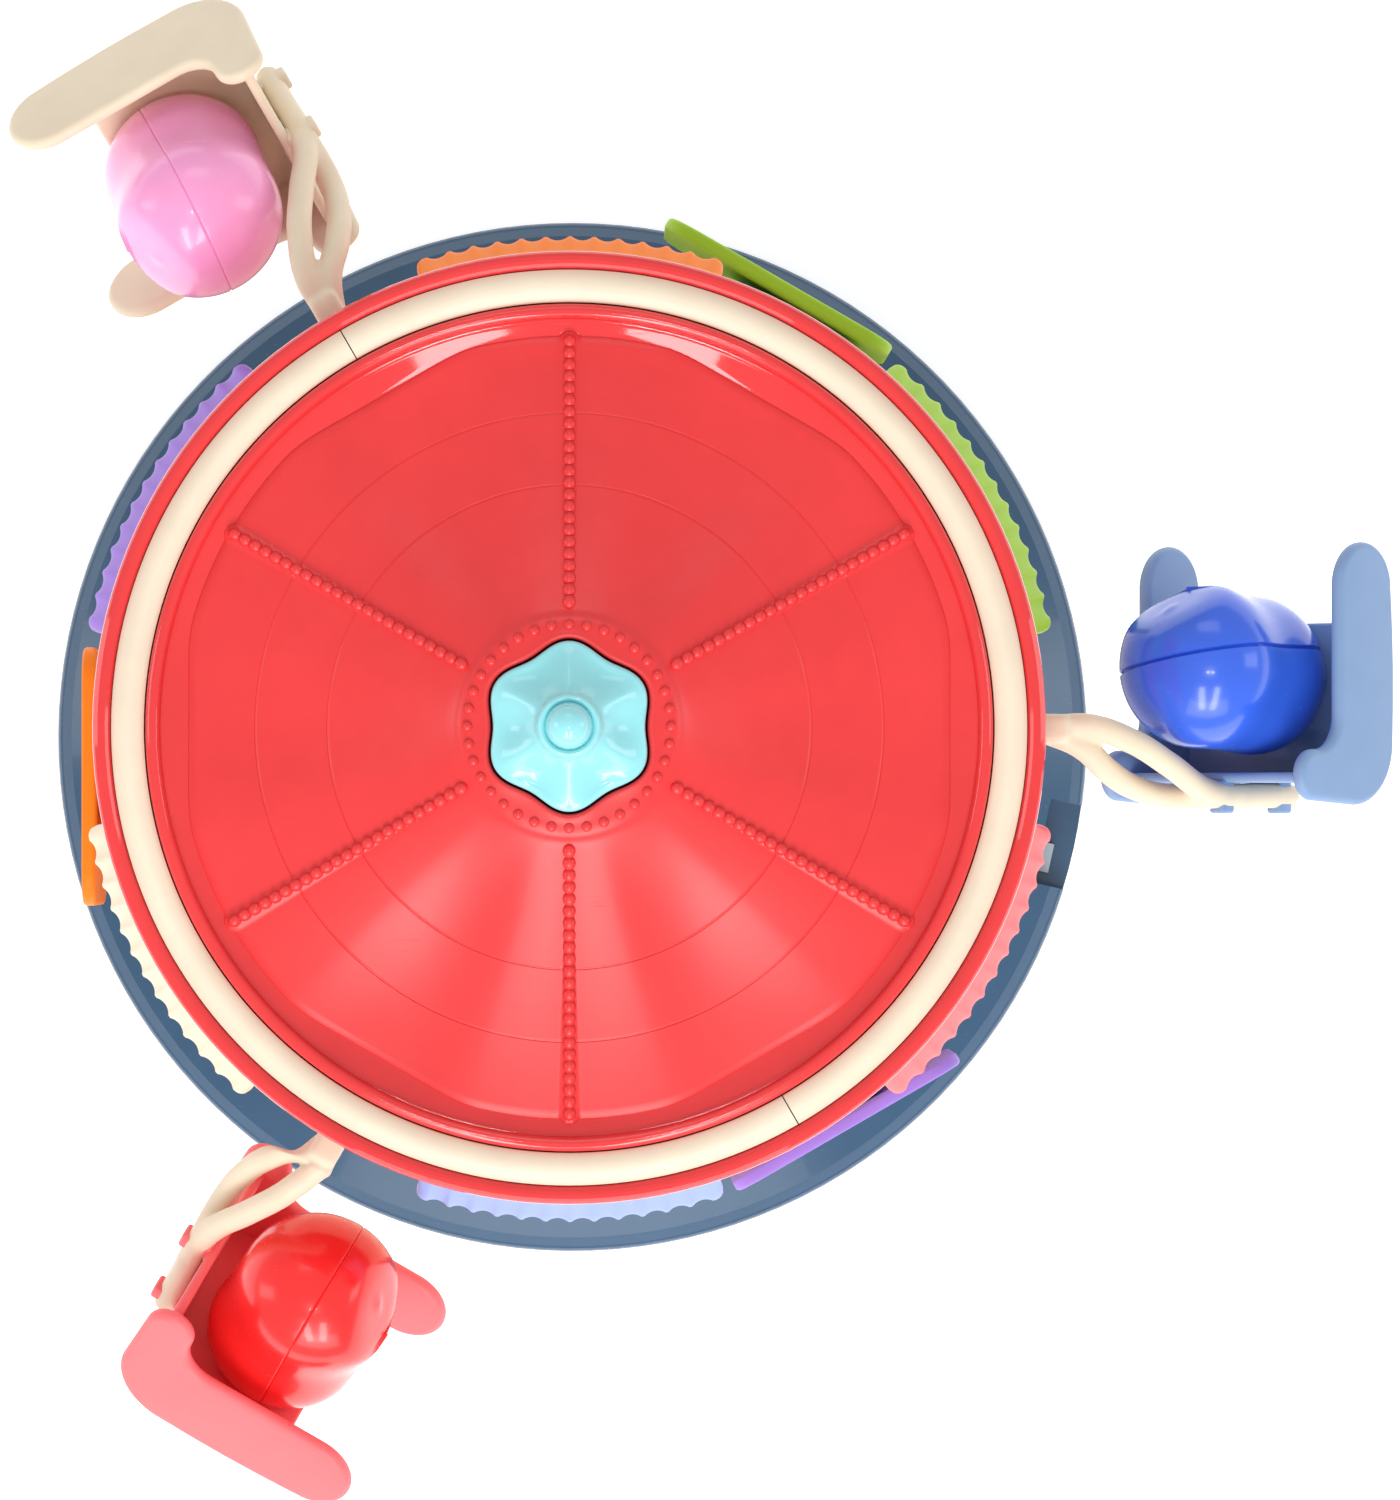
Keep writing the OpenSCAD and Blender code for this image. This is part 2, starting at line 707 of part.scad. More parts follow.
module drive_gear() {
  color("white") translate([0, 0, gear_z]) difference() {
    linear_extrude(gear_h) polygon(gear_outline(gear_teeth, gear_mod));
    translate([0, 0, -cut]) cylinder(r = hub_end_r + fixed, h = gear_h + 2 * cut, $fn = 60);
    translate([0, 0, gear_h - 2.5]) difference() {
      cylinder(r = gear_teeth * gear_mod / 2 - 4, h = gear_h, $fn = 60);
      translate([0, 0, -cut]) cylinder(r = hub_end_r + 3, h = gear_h + 2 * cut, $fn = 60);
    }
  }
}

module hub() {
  color("white") difference() {
    union() {
      translate([0, 0, hub_flange_z]) cylinder(r = hub_flange_r, h = hub_flange_t, $fn = 60);
      translate([0, 0, gear_top]) cylinder(d = hub_d, h = hub_flange_z - gear_top + cut, $fn = 60);
      translate([0, 0, hub_end_z]) cylinder(r = hub_end_r, h = gear_top - hub_end_z + cut, $fn = 60);
    }
    translate([0, 0, hub_end_z - cut]) cylinder(r = rod_d / 2 + 2 * running, h = 40, $fn = 30);
    translate([0, 0, gear_z - clip_t - 0.1]) difference() {
      cylinder(r = hub_end_r + cut, h = clip_t + 0.1, $fn = 60);
      translate([0, 0, -cut]) cylinder(r = hub_end_r - clip_groove, h = clip_t + 3, $fn = 60);
    }
    for (a = arm_angles) around(a + 60, hub_bolt_r)
      translate([0, 0, hub_flange_z - cut]) cylinder(r = shank_r, h = 6, $fn = 24);
  }
}

module hub_clip() {
  color(steel) translate([0, 0, gear_z - clip_t - 0.05]) difference() {
    cylinder(r = hub_end_r + 2, h = clip_t, $fn = 40);
    translate([0, 0, -cut]) cylinder(r = hub_end_r - clip_groove + fixed, h = clip_t + 2 * cut, $fn = 40);
    translate([0, -hub_end_r + 1.5, -cut]) cube([hub_end_r * 2, 2 * hub_end_r - 3, clip_t + 2 * cut]);
  }
}

// Screws that hold the tray on the hub's flange, from below
module hub_screws() {
  color(steel) for (a = arm_angles) around(a + 60, hub_bolt_r)
    translate([0, 0, tray_z + tray_t + 1.8]) rotate([180, 0, 0]) screw(5);
}

module canopy_tray() {
  color(red) difference() {
    union() {
      rotate_extrude($fn = 120) polygon(concat(
        [[rod_d, tray_z], [wall_foot_r, tray_z], [wall_head_r, skirt_z], [rim_r - 0.6, skirt_z],
         [rim_r, skirt_z + 0.6], [rim_r, rim_z - 2]],
        arc([rim_r - 2, rim_z - 2], 2, 0, 180, 8),
        [[rim_r - rim_w, ledge_z], [ledge_ri, ledge_z], [ledge_ri, ledge_z - 2.2],
         [wall_head_r - 2, ledge_z - 2.2], [wall_head_r - 2, skirt_z],
         [wall_foot_r - 2, tray_z + tray_t], [rod_d, tray_z + tray_t]]));
      // sockets that take the arms' stems
      for (a = arm_angles) rotate([0, 0, a]) intersection() {
        translate([wall_foot_r - socket_l, -stem / 2 - socket_wall, tray_z + tray_t / 2])
          cube([socket_l + 6, stem + 2 * socket_wall, stem_top + socket_wall - tray_z - tray_t / 2]);
        translate([0, 0, tray_z]) cylinder(r1 = wall_foot_r - tray_t / 2, r2 = wall_head_r - tray_t / 2,
          h = skirt_z - tray_z, $fn = 120);
      }
      for (a = arm_angles) around(a + 60, roof_post_r)
        translate([0, 0, tray_z]) cylinder(r = boss_r, h = ledge_z - tray_z - 2, $fn = 36);
    }
    for (a = arm_angles) rotate([0, 0, a])
      translate([wall_foot_r - socket_l - cut, -stem / 2 - seat, stem_top - stem - seat])
        cube([socket_l + 20, stem + 2 * seat, stem + 2 * seat]);
    for (a = arm_angles) around(a + 60, hub_bolt_r)
      translate([0, 0, tray_z - cut]) cylinder(r = shank_r, h = tray_t + 2 * cut, $fn = 24);
    for (a = arm_angles) around(a + 60, roof_post_r) {
      translate([0, 0, tray_z - cut]) cylinder(r = shank_r, h = canopy_h, $fn = 24);
      translate([0, 0, tray_z - cut]) cylinder(r = screw_head_r + seat, h = 10 + cut, $fn = 30);
    }
  }
}

// Height of the roof's top surface at radius r: a cone that sags between edge and collar
function roof_height(r) =
  let(t = (roof_corner_r - r) / (roof_corner_r - collar_r))
  roof_edge_z + (collar_foot_z - roof_edge_z) * (0.62 * t + 0.38 * t * t);

function roof_band(lift, steps = 10) = concat(
  [for (i = [0:steps]) let(r = roof_corner_r + (collar_r - 1 - roof_corner_r) * i / steps)
    [r, roof_height(r) + lift]],
  [for (i = [0:steps]) let(r = collar_r - 1 + (roof_corner_r - collar_r + 1) * i / steps)
    [r, roof_height(r) - roof_t]]);

module canopy_roof() {
  color(red) difference() {
    union() {
      intersection() {
        union() {
          rotate_extrude($fn = 120) polygon(roof_band(0));
          intersection() {
            rotate_extrude($fn = 120) polygon(roof_band(rib_h));
            for (a = [30:60:330]) rotate([0, 0, a]) translate([collar_r - 2, -rib_w / 2, tray_z])
              cube([rim_r, rib_w, canopy_h + roof_rise]);
          }
        }
        translate([0, 0, tray_z]) linear_extrude(canopy_h + roof_rise)
          six_sided(roof_flat_r, roof_corner_r);
      }
      // trough and lip
      rotate_extrude($fn = 120) polygon(concat(
        [[roof_flat_r - 3, trough_z - roof_t], [lip_ri, ledge_z + moving], [lip_ri, ledge_z],
         [lip_ro, ledge_z], [lip_ro, rim_z - 1]],
        arc([lip_ro - lip_w / 2, rim_z - 1], lip_w / 2, 0, 180, 8),
        [[lip_ri, trough_z + 1], [lip_ri - 0.8, trough_z], [roof_flat_r - 3, trough_z]]));
      // collar, recess floor and guide
      rotate_extrude($fn = 120) polygon([[0, recess_z - 2], [collar_r - 1, recess_z - 2],
        [collar_r, collar_foot_z - roof_t], [collar_r + 0.6, collar_foot_z - 0.4],
        [collar_r - 0.8, collar_z], [0, collar_z]]);
      translate([0, 0, recess_z - 8]) cylinder(r = guide_r, h = 8, $fn = 40);
      for (a = arm_angles) around(a + 60, roof_post_r)
        translate([0, 0, ledge_z - 2]) cylinder(r = boss_r, h = roof_height(roof_post_r) - ledge_z + 1);
    }
    translate([0, 0, recess_z]) linear_extrude(recess_depth + cut) flower(recess_gap);
    translate([0, 0, recess_z - 10]) cylinder(r = rod_d / 2 + 2 * running, h = 20, $fn = 30);
    for (a = arm_angles) around(a + 60, roof_post_r)
      translate([0, 0, ledge_z - 2 - cut]) cylinder(r = pilot_r, h = 10, $fn = 24);
  }
}

// Screws through the tray into the roof's posts
module roof_screws() {
  color(steel) for (a = arm_angles) around(a + 60, roof_post_r)
    translate([0, 0, tray_z + 10 - head_t]) screw(ledge_z - tray_z - 6);
}

module trim_ring(start) {
  color(cream) rotate([0, 0, start + 0.1]) rotate_extrude(angle = 179.8, $fn = 120)
    polygon(concat([[ring_ri, ledge_z + fixed], [ring_ro, ledge_z + fixed], [ring_ro, rim_z - 1.2]],
      [for (i = [1:7]) let(t = i / 8) [ring_ro - ring_w * t, rim_z - 1.2 + ring_crown * sin(180 * t)]],
      [[ring_ri, rim_z - 1.2]]));
}

module trim_ring_left() trim_ring(ring_split);
module trim_ring_right() trim_ring(ring_split - 180);

// Sloping awning with a fluted edge, hung in the corner under the rim
module awning(a, shade) {
  tip_r = rim_r + awning_out;
  scoop_r = 2.8;
  scoops = 12;
  pitch = awning_angle / (scoops + 1);
  color(shade) rotate([0, 0, a - awning_angle / 2]) difference() {
    rotate_extrude(angle = awning_angle, $fn = 120) polygon([
      [wall_head_r + 0.25, skirt_z - fixed], [rim_r - 0.4, skirt_z - fixed], [tip_r, skirt_z - 10.5],
      [tip_r, skirt_z - 13.4], [tip_r - 1.7, skirt_z - 13.4], [wall_head_r + 1.4, skirt_z - 3.8],
      [wall_head_r - 1.05, skirt_z - 3.8]]);
    for (i = [1:scoops]) rotate([0, 0, i * pitch])
      translate([tip_r - 1.2 + scoop_r, 0, skirt_z - 20]) cylinder(r = scoop_r, h = 40, $fn = 40);
  }
}

module awning_orange() awning(awning_angles[0], orange);
module awning_green() awning(awning_angles[1], lime);
module awning_coral() awning(awning_angles[2], coral);
module awning_blue() awning(awning_angles[3], sky);
module awning_cream() awning(awning_angles[4], cream);
module awning_purple() awning(awning_angles[5], purple);

// ---------- swings ----------

// Chair frame: x outward across the chair, y forward, z up the chair's back
module at_chair(k) {
  rotate([0, 0, arm_angles[k]]) translate([chair_r, 0, chair_z]) rotate([0, -bank, 0]) children();
}

// A point of the chair frame, in the frame of its arm
function from_chair(p) = [chair_r + p[0] * cos(bank) - p[2] * sin(bank), p[1],
  chair_z + p[0] * sin(bank) + p[2] * cos(bank)];

module side_outline() {
  r = panel_h / 2;
  c = 9;
  translate([panel_front - r, r]) circle(r = r, $fn = 50);
  translate([panel_back + c, 0]) square([panel_front - r - panel_back - c, panel_h]);
  translate([panel_back + c, c]) circle(r = c, $fn = 50);
  translate([panel_back, c]) square([panel_step - panel_back, back_h - 2 * c + 0.6]);
  translate([panel_back + 7.7, back_h - 7.7]) circle(r = 7.7, $fn = 50);
}

module chair(k, shade) {
  inner_w = chair_w - 2 * panel_t;
  color(shade) at_chair(k) {
    for (side = [-1, 1]) translate([side * (chair_w / 2 - panel_t / 2) - panel_t / 2, 0, 0])
      rotate([90, 0, 90]) linear_extrude(panel_t) side_outline();
    translate([-inner_w / 2 - 0.5, back_wall_y, floor_z])
      cube([inner_w + 1, back_wall_t, back_wall_h - floor_z]);
    translate([-inner_w / 2 - 0.5, back_wall_y, floor_z])
      cube([inner_w + 1, floor_front - back_wall_y, floor_t]);
    // clips that hook round the arm's bar
    for (u = tab_heights) translate([0, 0, u]) {
      for (x = [-1, 1]) translate([x * (strand_r + tab_gap + tab[2] / 2), back_wall_y - tab[1] / 2 + 0.5, 0])
        cube([tab[2], tab[1] + 1, tab[0]], center = true);
    }
  }
}

module chair_blue() chair(0, slate);
module chair_cream() chair(1, cream);
module chair_coral() chair(2, coral);

// Arm: a square stem, then two strands that cross and become a bar behind the chair
function bar_top() = from_chair([0, bar_y, 34]);
function bar_end() = from_chair([0, bar_y, 1]);
stem_out = rim_r + 9.4;

module arm(k) {
  zs = stem_top - stem / 2;
  upper = [[stem_out - 4, 1.4, zs], [stem_out, 0.6, zs], [stem_out + 10, -1.4, zs - 3],
    [stem_out + 19, -6.1, zs - 11], bar_top() + [0, 2.2, 0], from_chair([0, bar_y, 26]),
    from_chair([0, bar_y, 14]), bar_end()];
  lower = [[stem_out - 4, -2.2, zs - 1], [stem_out, -4.6, zs - 1.4], [stem_out + 8, -11.1, zs - 6.4],
    [stem_out + 14, -15.4, zs - 15], [stem_out + 20, -17, zs - 24],
    from_chair([0, bar_y - 1.2, 27]), from_chair([0, bar_y - 0.3, 20])];
  color(cream) rotate([0, 0, arm_angles[k]]) {
    translate([wall_foot_r - socket_l + 1, -stem / 2, stem_top - stem])
      cube([stem_out - wall_foot_r + socket_l - 2, stem, stem]);
    tube(smooth(upper), strand_r);
    tube(smooth(lower), strand_r - 0.05);
  }
}

module arm_blue() arm(0);
module arm_pink() arm(1);
module arm_red() arm(2);

// Rider: a round head on a small seated body, turned a little in its chair
module rider(k, shade) {
  color(shade) at_chair(k) translate([0, rider_y, 0]) rotate([0, 0, rider_yaw[k]])
    difference() {
      union() {
        translate([0, 0, head_u]) sphere(r = head_r, $fn = 60);
        translate([0, 0, body_lobe_u]) sphere(r = body_lobe_r, $fn = 48);
      }
      translate([-head_r, -head_r, seat_z - head_r]) cube([2 * head_r, 2 * head_r, head_r]);
    }
}

module rider_blue() rider(0, [0.22, 0.38, 0.85]);
module rider_pink() rider(1, [1, 0.6, 0.8]);
module rider_red() rider(2, [0.95, 0.15, 0.15]);

// ---------- flower button ----------

module flower(grow) {
  r0 = flower_d / 2 - petal_wave + grow;
  polygon([for (i = [0:5:355]) let(r = r0 + petal_wave * cos(petals * (i - 30)))
    [r * cos(i), r * sin(i)]]);
}

module flower_button() {
  color(aqua) difference() {
    union() {
      translate([0, 0, button_under]) linear_extrude(petal_z - button_under) flower(0);
      intersection() {
        rotate_extrude($fn = 72) polygon([[0, petal_z - cut], [flower_d / 2, petal_z - cut],
          [flower_d / 2, petal_z + 0.2], [cone_r + 5, petal_z + 3.4], [cone_r + 1, cone_z - 2.4],
          [cone_r, cone_z], [0, cone_z]]);
        translate([0, 0, petal_z - cut]) linear_extrude(20) flower(0);
      }
      translate([0, 0, cone_z - 1]) sphere(r = dome_r, $fn = 40);
    }
    translate([0, 0, button_under - cut]) difference() {
      cylinder(r = button_cavity_r, h = button_cavity_z - button_under + cut, $fn = 48);
      translate([0, 0, -cut]) cylinder(r = rod_d / 2 + 2, h = 20, $fn = 40);
    }
    translate([0, 0, button_under - cut])
      cylinder(r = rod_d / 2 + fixed, h = button_cavity_z - button_under + 1.5, $fn = 30);
  }
}

module button_rod() {
  color(steel) translate([0, 0, rod_end])
    cylinder(d = rod_d, h = button_cavity_z + 0.4 - rod_end, $fn = 30);
}

module button_spring() {
  length = button_cavity_z - recess_z - 2 * spring_wire - 0.1;
  steps = 16 * spring_turns;
  color(steel) tube([for (i = [0:steps]) let(a = 360 * spring_turns * i / steps)
    [spring_r * cos(a), spring_r * sin(a), recess_z + spring_wire + 0.05 + length * i / steps]],
    spring_wire, 6);
}

// ---------- assembly ----------

base_shell();
base_plate();
battery_door();
battery_door_screw();
batteries();
battery_contacts();
foot_pads();
base_screws();
speaker();
circuit_board();
slide_switch_case();
power_knob();
body_shell();
body_screws();
drawer_sleeve_green();
drawer_sleeve_orange();
drawer_sleeve_purple();
drawer_box_green();
drawer_box_orange();
drawer_box_purple();
drawer_front_green();
drawer_front_orange();
drawer_front_purple();
spindle_bush();
motor_plate();
motor_plate_screws();
button_switch();
motor();
motor_shaft();
motor_pinion();
drive_gear();
hub();
hub_clip();
hub_screws();
canopy_tray();
canopy_roof();
roof_screws();
trim_ring_left();
trim_ring_right();
awning_orange();
awning_green();
awning_coral();
awning_blue();
awning_cream();
awning_purple();
arm_blue();
arm_pink();
arm_red();
chair_blue();
chair_cream();
chair_coral();
rider_blue();
rider_pink();
rider_red();
flower_button();
button_rod();
button_spring();
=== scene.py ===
# %% [markdown]
# # A toy carousel, made to be looked at
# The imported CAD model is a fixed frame: it says where every part is and how it moves. This script
# keeps the CAD nodes whose shape is already right and gives them a finish, and it models anew what
# needs a softer or finer shape: the roof with its beads, the flower, the rings, the awnings, the
# swings and their riders.

# %% Load the frame
import json
import math

import bpy
from mathutils import Matrix, Vector


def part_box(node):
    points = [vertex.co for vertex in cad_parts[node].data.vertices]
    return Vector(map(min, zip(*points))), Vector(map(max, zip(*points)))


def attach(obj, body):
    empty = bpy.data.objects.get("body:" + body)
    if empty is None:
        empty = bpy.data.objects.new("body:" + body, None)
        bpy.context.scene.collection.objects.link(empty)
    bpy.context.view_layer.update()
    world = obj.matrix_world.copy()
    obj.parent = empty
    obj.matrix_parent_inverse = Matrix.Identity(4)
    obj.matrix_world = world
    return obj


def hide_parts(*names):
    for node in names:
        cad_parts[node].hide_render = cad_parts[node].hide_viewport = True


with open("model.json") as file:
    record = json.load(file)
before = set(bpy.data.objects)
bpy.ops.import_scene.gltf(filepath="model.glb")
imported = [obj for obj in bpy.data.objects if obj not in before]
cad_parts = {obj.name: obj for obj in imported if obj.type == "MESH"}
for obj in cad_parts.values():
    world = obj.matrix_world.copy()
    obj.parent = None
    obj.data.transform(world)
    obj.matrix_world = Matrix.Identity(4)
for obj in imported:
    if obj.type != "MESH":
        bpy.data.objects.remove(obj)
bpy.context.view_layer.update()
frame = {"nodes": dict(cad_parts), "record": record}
MM = 0.001

# %% [markdown]
# ## Places come from the frame
# A toy is moulded to fit itself, so the new pieces take their places from the boxes of the CAD
# nodes that they stand for. If the design grows, the looks grow with it.

# %% Measures of the canopy, in millimetres
tray_low, tray_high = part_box("canopy_tray")
roof_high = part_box("canopy_roof")[1]
ring_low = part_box("trim_ring_left")[0]
button_low, button_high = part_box("flower_button")
RIM, TRAY_Z = tray_high.x / MM, tray_low.z / MM
LIP, COLLAR_Z = roof_high.x / MM, roof_high.z / MM
RING_OUT, LEDGE = -ring_low.x / MM, ring_low.z / MM
FLOWER = (button_high.y - button_low.y) / MM / 2
print(f"rim radius {RIM:.2f} mm, lip radius {LIP:.2f} mm, top of the collar {COLLAR_Z:.2f} mm")


# %% [markdown]
# ## The camera
# The toy is seen from high above through a long lens, a little off its middle, so that the rim
# stays nearly round and the far drawers peep out from under the canopy.

# %% Camera
def look(eye, target, up):
    """The matrix of a camera at eye that looks at target, with up towards its upper edge."""
    back = (eye - target).normalized()
    right = up.cross(back).normalized()
    turn = Matrix((right, back.cross(right), back)).transposed()
    return Matrix.Translation(eye) @ turn.to_4x4()


lens = bpy.data.cameras.new("camera")
lens.lens = 215.0
lens.sensor_width = 36.0
camera = bpy.data.objects.new("camera", lens)
bpy.context.scene.collection.objects.link(camera)
camera.matrix_world = look(
    Vector((8.2, -23.4, 2100)) * MM, Vector((29.8, -3.0, 0)) * MM, Vector((0, 1, 0))
)
bpy.context.scene.camera = camera
print("camera is", round(camera.location.z, 2), "m above the table")


# %% [markdown]
# ## The studio
# Two tall soft boxes stand in front of the toy and give the slopes that face them their glow and
# the glossy parts their pale panels, with a wide sail behind them. Weaker boxes behind and at the
# sides and a bright room fill the shadows, and two small lamps beside the lens make the twin
# sparks on every dome.

# %% Lamps and room
def soft_box(name, place, size, power):
    """A flat lamp that faces the toy. size is its width and height in metres."""
    lamp = bpy.data.lights.new(name, "AREA")
    lamp.shape, lamp.size, lamp.size_y, lamp.energy = "RECTANGLE", size[0], size[1], power
    box = bpy.data.objects.new(name, lamp)
    bpy.context.scene.collection.objects.link(box)
    place = Vector(place)
    box.matrix_world = look(place, Vector((0, 0, 0.15)), Vector((0, 1, 0.01)))
    return box


soft_box("front_left_box", (-0.31, -1.35, 1.55), (0.29, 1.1), 9)
soft_box("front_right_box", (0.31, -1.35, 1.55), (0.29, 1.1), 9)
soft_box("front_sail", (0.0, -2.3, 1.5), (2.6, 1.2), 20)
soft_box("back_box", (0.0, 1.7, 1.5), (1.1, 0.6), 3)
soft_box("left_box", (-1.8, 0.2, 0.9), (0.9, 0.5), 3)
soft_box("right_box", (1.8, 0.2, 0.9), (0.9, 0.5), 3)
soft_box("left_lamp", (-0.1, -0.28, 2.0), (0.1, 0.1), 1.2)
soft_box("right_lamp", (0.1, -0.28, 2.0), (0.1, 0.1), 1.2)
room = bpy.data.worlds.new("bright_room")
bpy.context.scene.world = room
room.use_nodes = True
sky = room.node_tree.nodes["Background"].inputs
sky["Color"].default_value, sky["Strength"].default_value = (1.0, 1.0, 1.0, 1.0), 0.6
bpy.context.scene.view_settings.view_transform = "Standard"


# %% [markdown]
# ## Shader maths as Python
# A moulded finish is a sum of small patterns. Wiring them by hand hides the idea, so this small
# class wraps a socket: an expression on wrapped sockets adds the Math nodes by itself.

# %% A socket that can be added and multiplied
class Value:
    """One output of a node tree that Python can do sums with."""

    def __init__(self, tree, socket):
        self.tree, self.socket = tree, socket

    def maths(self, operation, *values):
        node = self.tree.nodes.new("ShaderNodeMath")
        node.operation = operation
        for slot, value in zip(node.inputs, values):
            if isinstance(value, Value):
                self.tree.links.new(value.socket, slot)
            else:
                slot.default_value = value
        return Value(self.tree, node.outputs[0])

    def __add__(self, other):
        return self.maths("ADD", self, other)

    def __sub__(self, other):
        return self.maths("SUBTRACT", self, other)

    def __rsub__(self, other):
        return self.maths("SUBTRACT", other, self)

    def __mul__(self, other):
        return self.maths("MULTIPLY", self, other)

    def __gt__(self, other):
        return self.maths("GREATER_THAN", self, other)

    __radd__, __rmul__ = __add__, __mul__


# %% [markdown]
# ### One method for every node
# All other nodes are added by one method. It sets what a node does first, because that decides
# which sockets the node has, and fills or links the sockets after.

# %% A finish: a material under construction
class Finish:
    """A material under construction, around its Principled shader."""

    def __init__(self, name):
        self.material = bpy.data.materials.new(name)
        self.material.use_nodes = True
        self.tree = self.material.node_tree
        self.shader = self.tree.nodes["Principled BSDF"]

    def node(self, kind, settings=None, values=None, output=0):
        """Adds a node: its settings first, then values or links for its sockets."""
        node = self.tree.nodes.new(kind)
        for name, value in (settings or {}).items():
            if name == "stops":
                for stop, (place, shade) in zip(node.color_ramp.elements, value):
                    stop.position, stop.color = place, (*[shade] * 3, 1)
            else:
                setattr(node, name, value)
        for name, value in (values or {}).items():
            if isinstance(value, Value):
                self.tree.links.new(value.socket, node.inputs[name])
            else:
                node.inputs[name].default_value = value
        return Value(self.tree, node.outputs[output])

    def set(self, **sockets):
        """Sets or links sockets of the Principled shader; an underscore stands for a space."""
        for name, value in sockets.items():
            slot = self.shader.inputs[name.replace("_", " ")]
            if isinstance(value, Value):
                self.tree.links.new(value.socket, slot)
            else:
                slot.default_value = value
        return self


def paint(red, green, blue):
    """A screen colour from 0 to 255 as the linear colour that a shader wants."""
    return tuple(((v / 255 + 0.055) / 1.055) ** 2.4 for v in (red, green, blue)) + (1.0,)


# %% [markdown]
# ## Moulded plastic
# Every coloured part is injection moulded. Up close that shows as pigment that drifts a little, a
# grain from the mould's spark-eroded wall on the satin parts, long shallow waves where thick walls
# sank as they cooled, and the hairline marks of handling, which change the gloss and not the
# colour. One recipe makes them all, and each part chooses how much of each it has.

# %% The recipe for plastic
def plastic(name, colour, gloss, grain=0.0, wave=0.0, clear=0.0, glow=0.0, shine=0.5):
    """gloss runs from 0, matt, to 1, a mirror; grain and wave are heights of relief in mm; clear
    is a polished skin, glow how far light creeps under the surface and shine its mirror share."""
    f = Finish(name)
    place = f.node("ShaderNodeTexCoord", output=3)
    drift = f.node("ShaderNodeTexNoise", values={"Vector": place, "Scale": 16.0, "Detail": 2.0})
    cloud = f.node("ShaderNodeTexNoise", values={"Vector": place, "Scale": 130.0, "Detail": 3.0})
    tone = f.node(
        "ShaderNodeMapRange",
        values={"Value": drift * 0.65 + cloud * 0.35, "From Min": 0.3, "From Max": 0.7},
    )
    dark = tuple(c * 0.93 for c in colour[:3]) + (1.0,)
    light = tuple(min(1.0, c * 1.05 + 0.004) for c in colour[:3]) + (1.0,)
    base = f.node("ShaderNodeMix", {"data_type": "RGBA"}, {"Factor": tone}, output=2)
    # Mix has an A and a B for each kind of data, so the colour ones are set by their place
    for slot, shade in ((6, dark), (7, light)):
        base.socket.node.inputs[slot].default_value = shade
    speck = f.node("ShaderNodeTexNoise", values={"Vector": place, "Scale": 900.0, "Detail": 2.0})
    stretched = f.node(
        "ShaderNodeMapping",
        values={"Vector": place, "Rotation": (0.3, 0.2, 0.9), "Scale": (30, 1400, 900)},
    )
    hair = f.node("ShaderNodeTexNoise", values={"Vector": stretched, "Scale": 1.0, "Detail": 1.0})
    scuffs = (hair > 0.73) * (cloud > 0.5)
    rough = 1.0 - gloss
    f.set(
        Base_Color=base,
        Roughness=(drift - 0.5) * 0.07 + (speck - 0.5) * 0.05 + scuffs * 0.12 + rough,
        IOR=1.49,
        Specular_IOR_Level=shine,
        Coat_Weight=clear,
        Coat_Roughness=0.04,
        Subsurface_Weight=glow,
        Subsurface_Scale=0.004,
        Subsurface_Radius=(1.0, 0.6, 0.5),
    )
    fine = f.node("ShaderNodeTexNoise", values={"Vector": place, "Scale": 2600.0, "Detail": 2.0})
    slow = f.node("ShaderNodeTexNoise", values={"Vector": place, "Scale": 34.0, "Detail": 1.0})
    relief = fine * (grain * MM) + slow * (wave * MM)
    bump = f.node("ShaderNodeBump", values={"Height": relief, "Strength": 1.0, "Distance": 1.0})
    f.set(Normal=bump)
    return f.material


# %% [markdown]
# ## The colours
# The toy's palette is warm red and cream with pastel parts. The outer shell of the canopy, the
# riders and the flower are polished, the roof and the swings are satin, and what is hidden inside
# is plain metal, rubber and nylon.

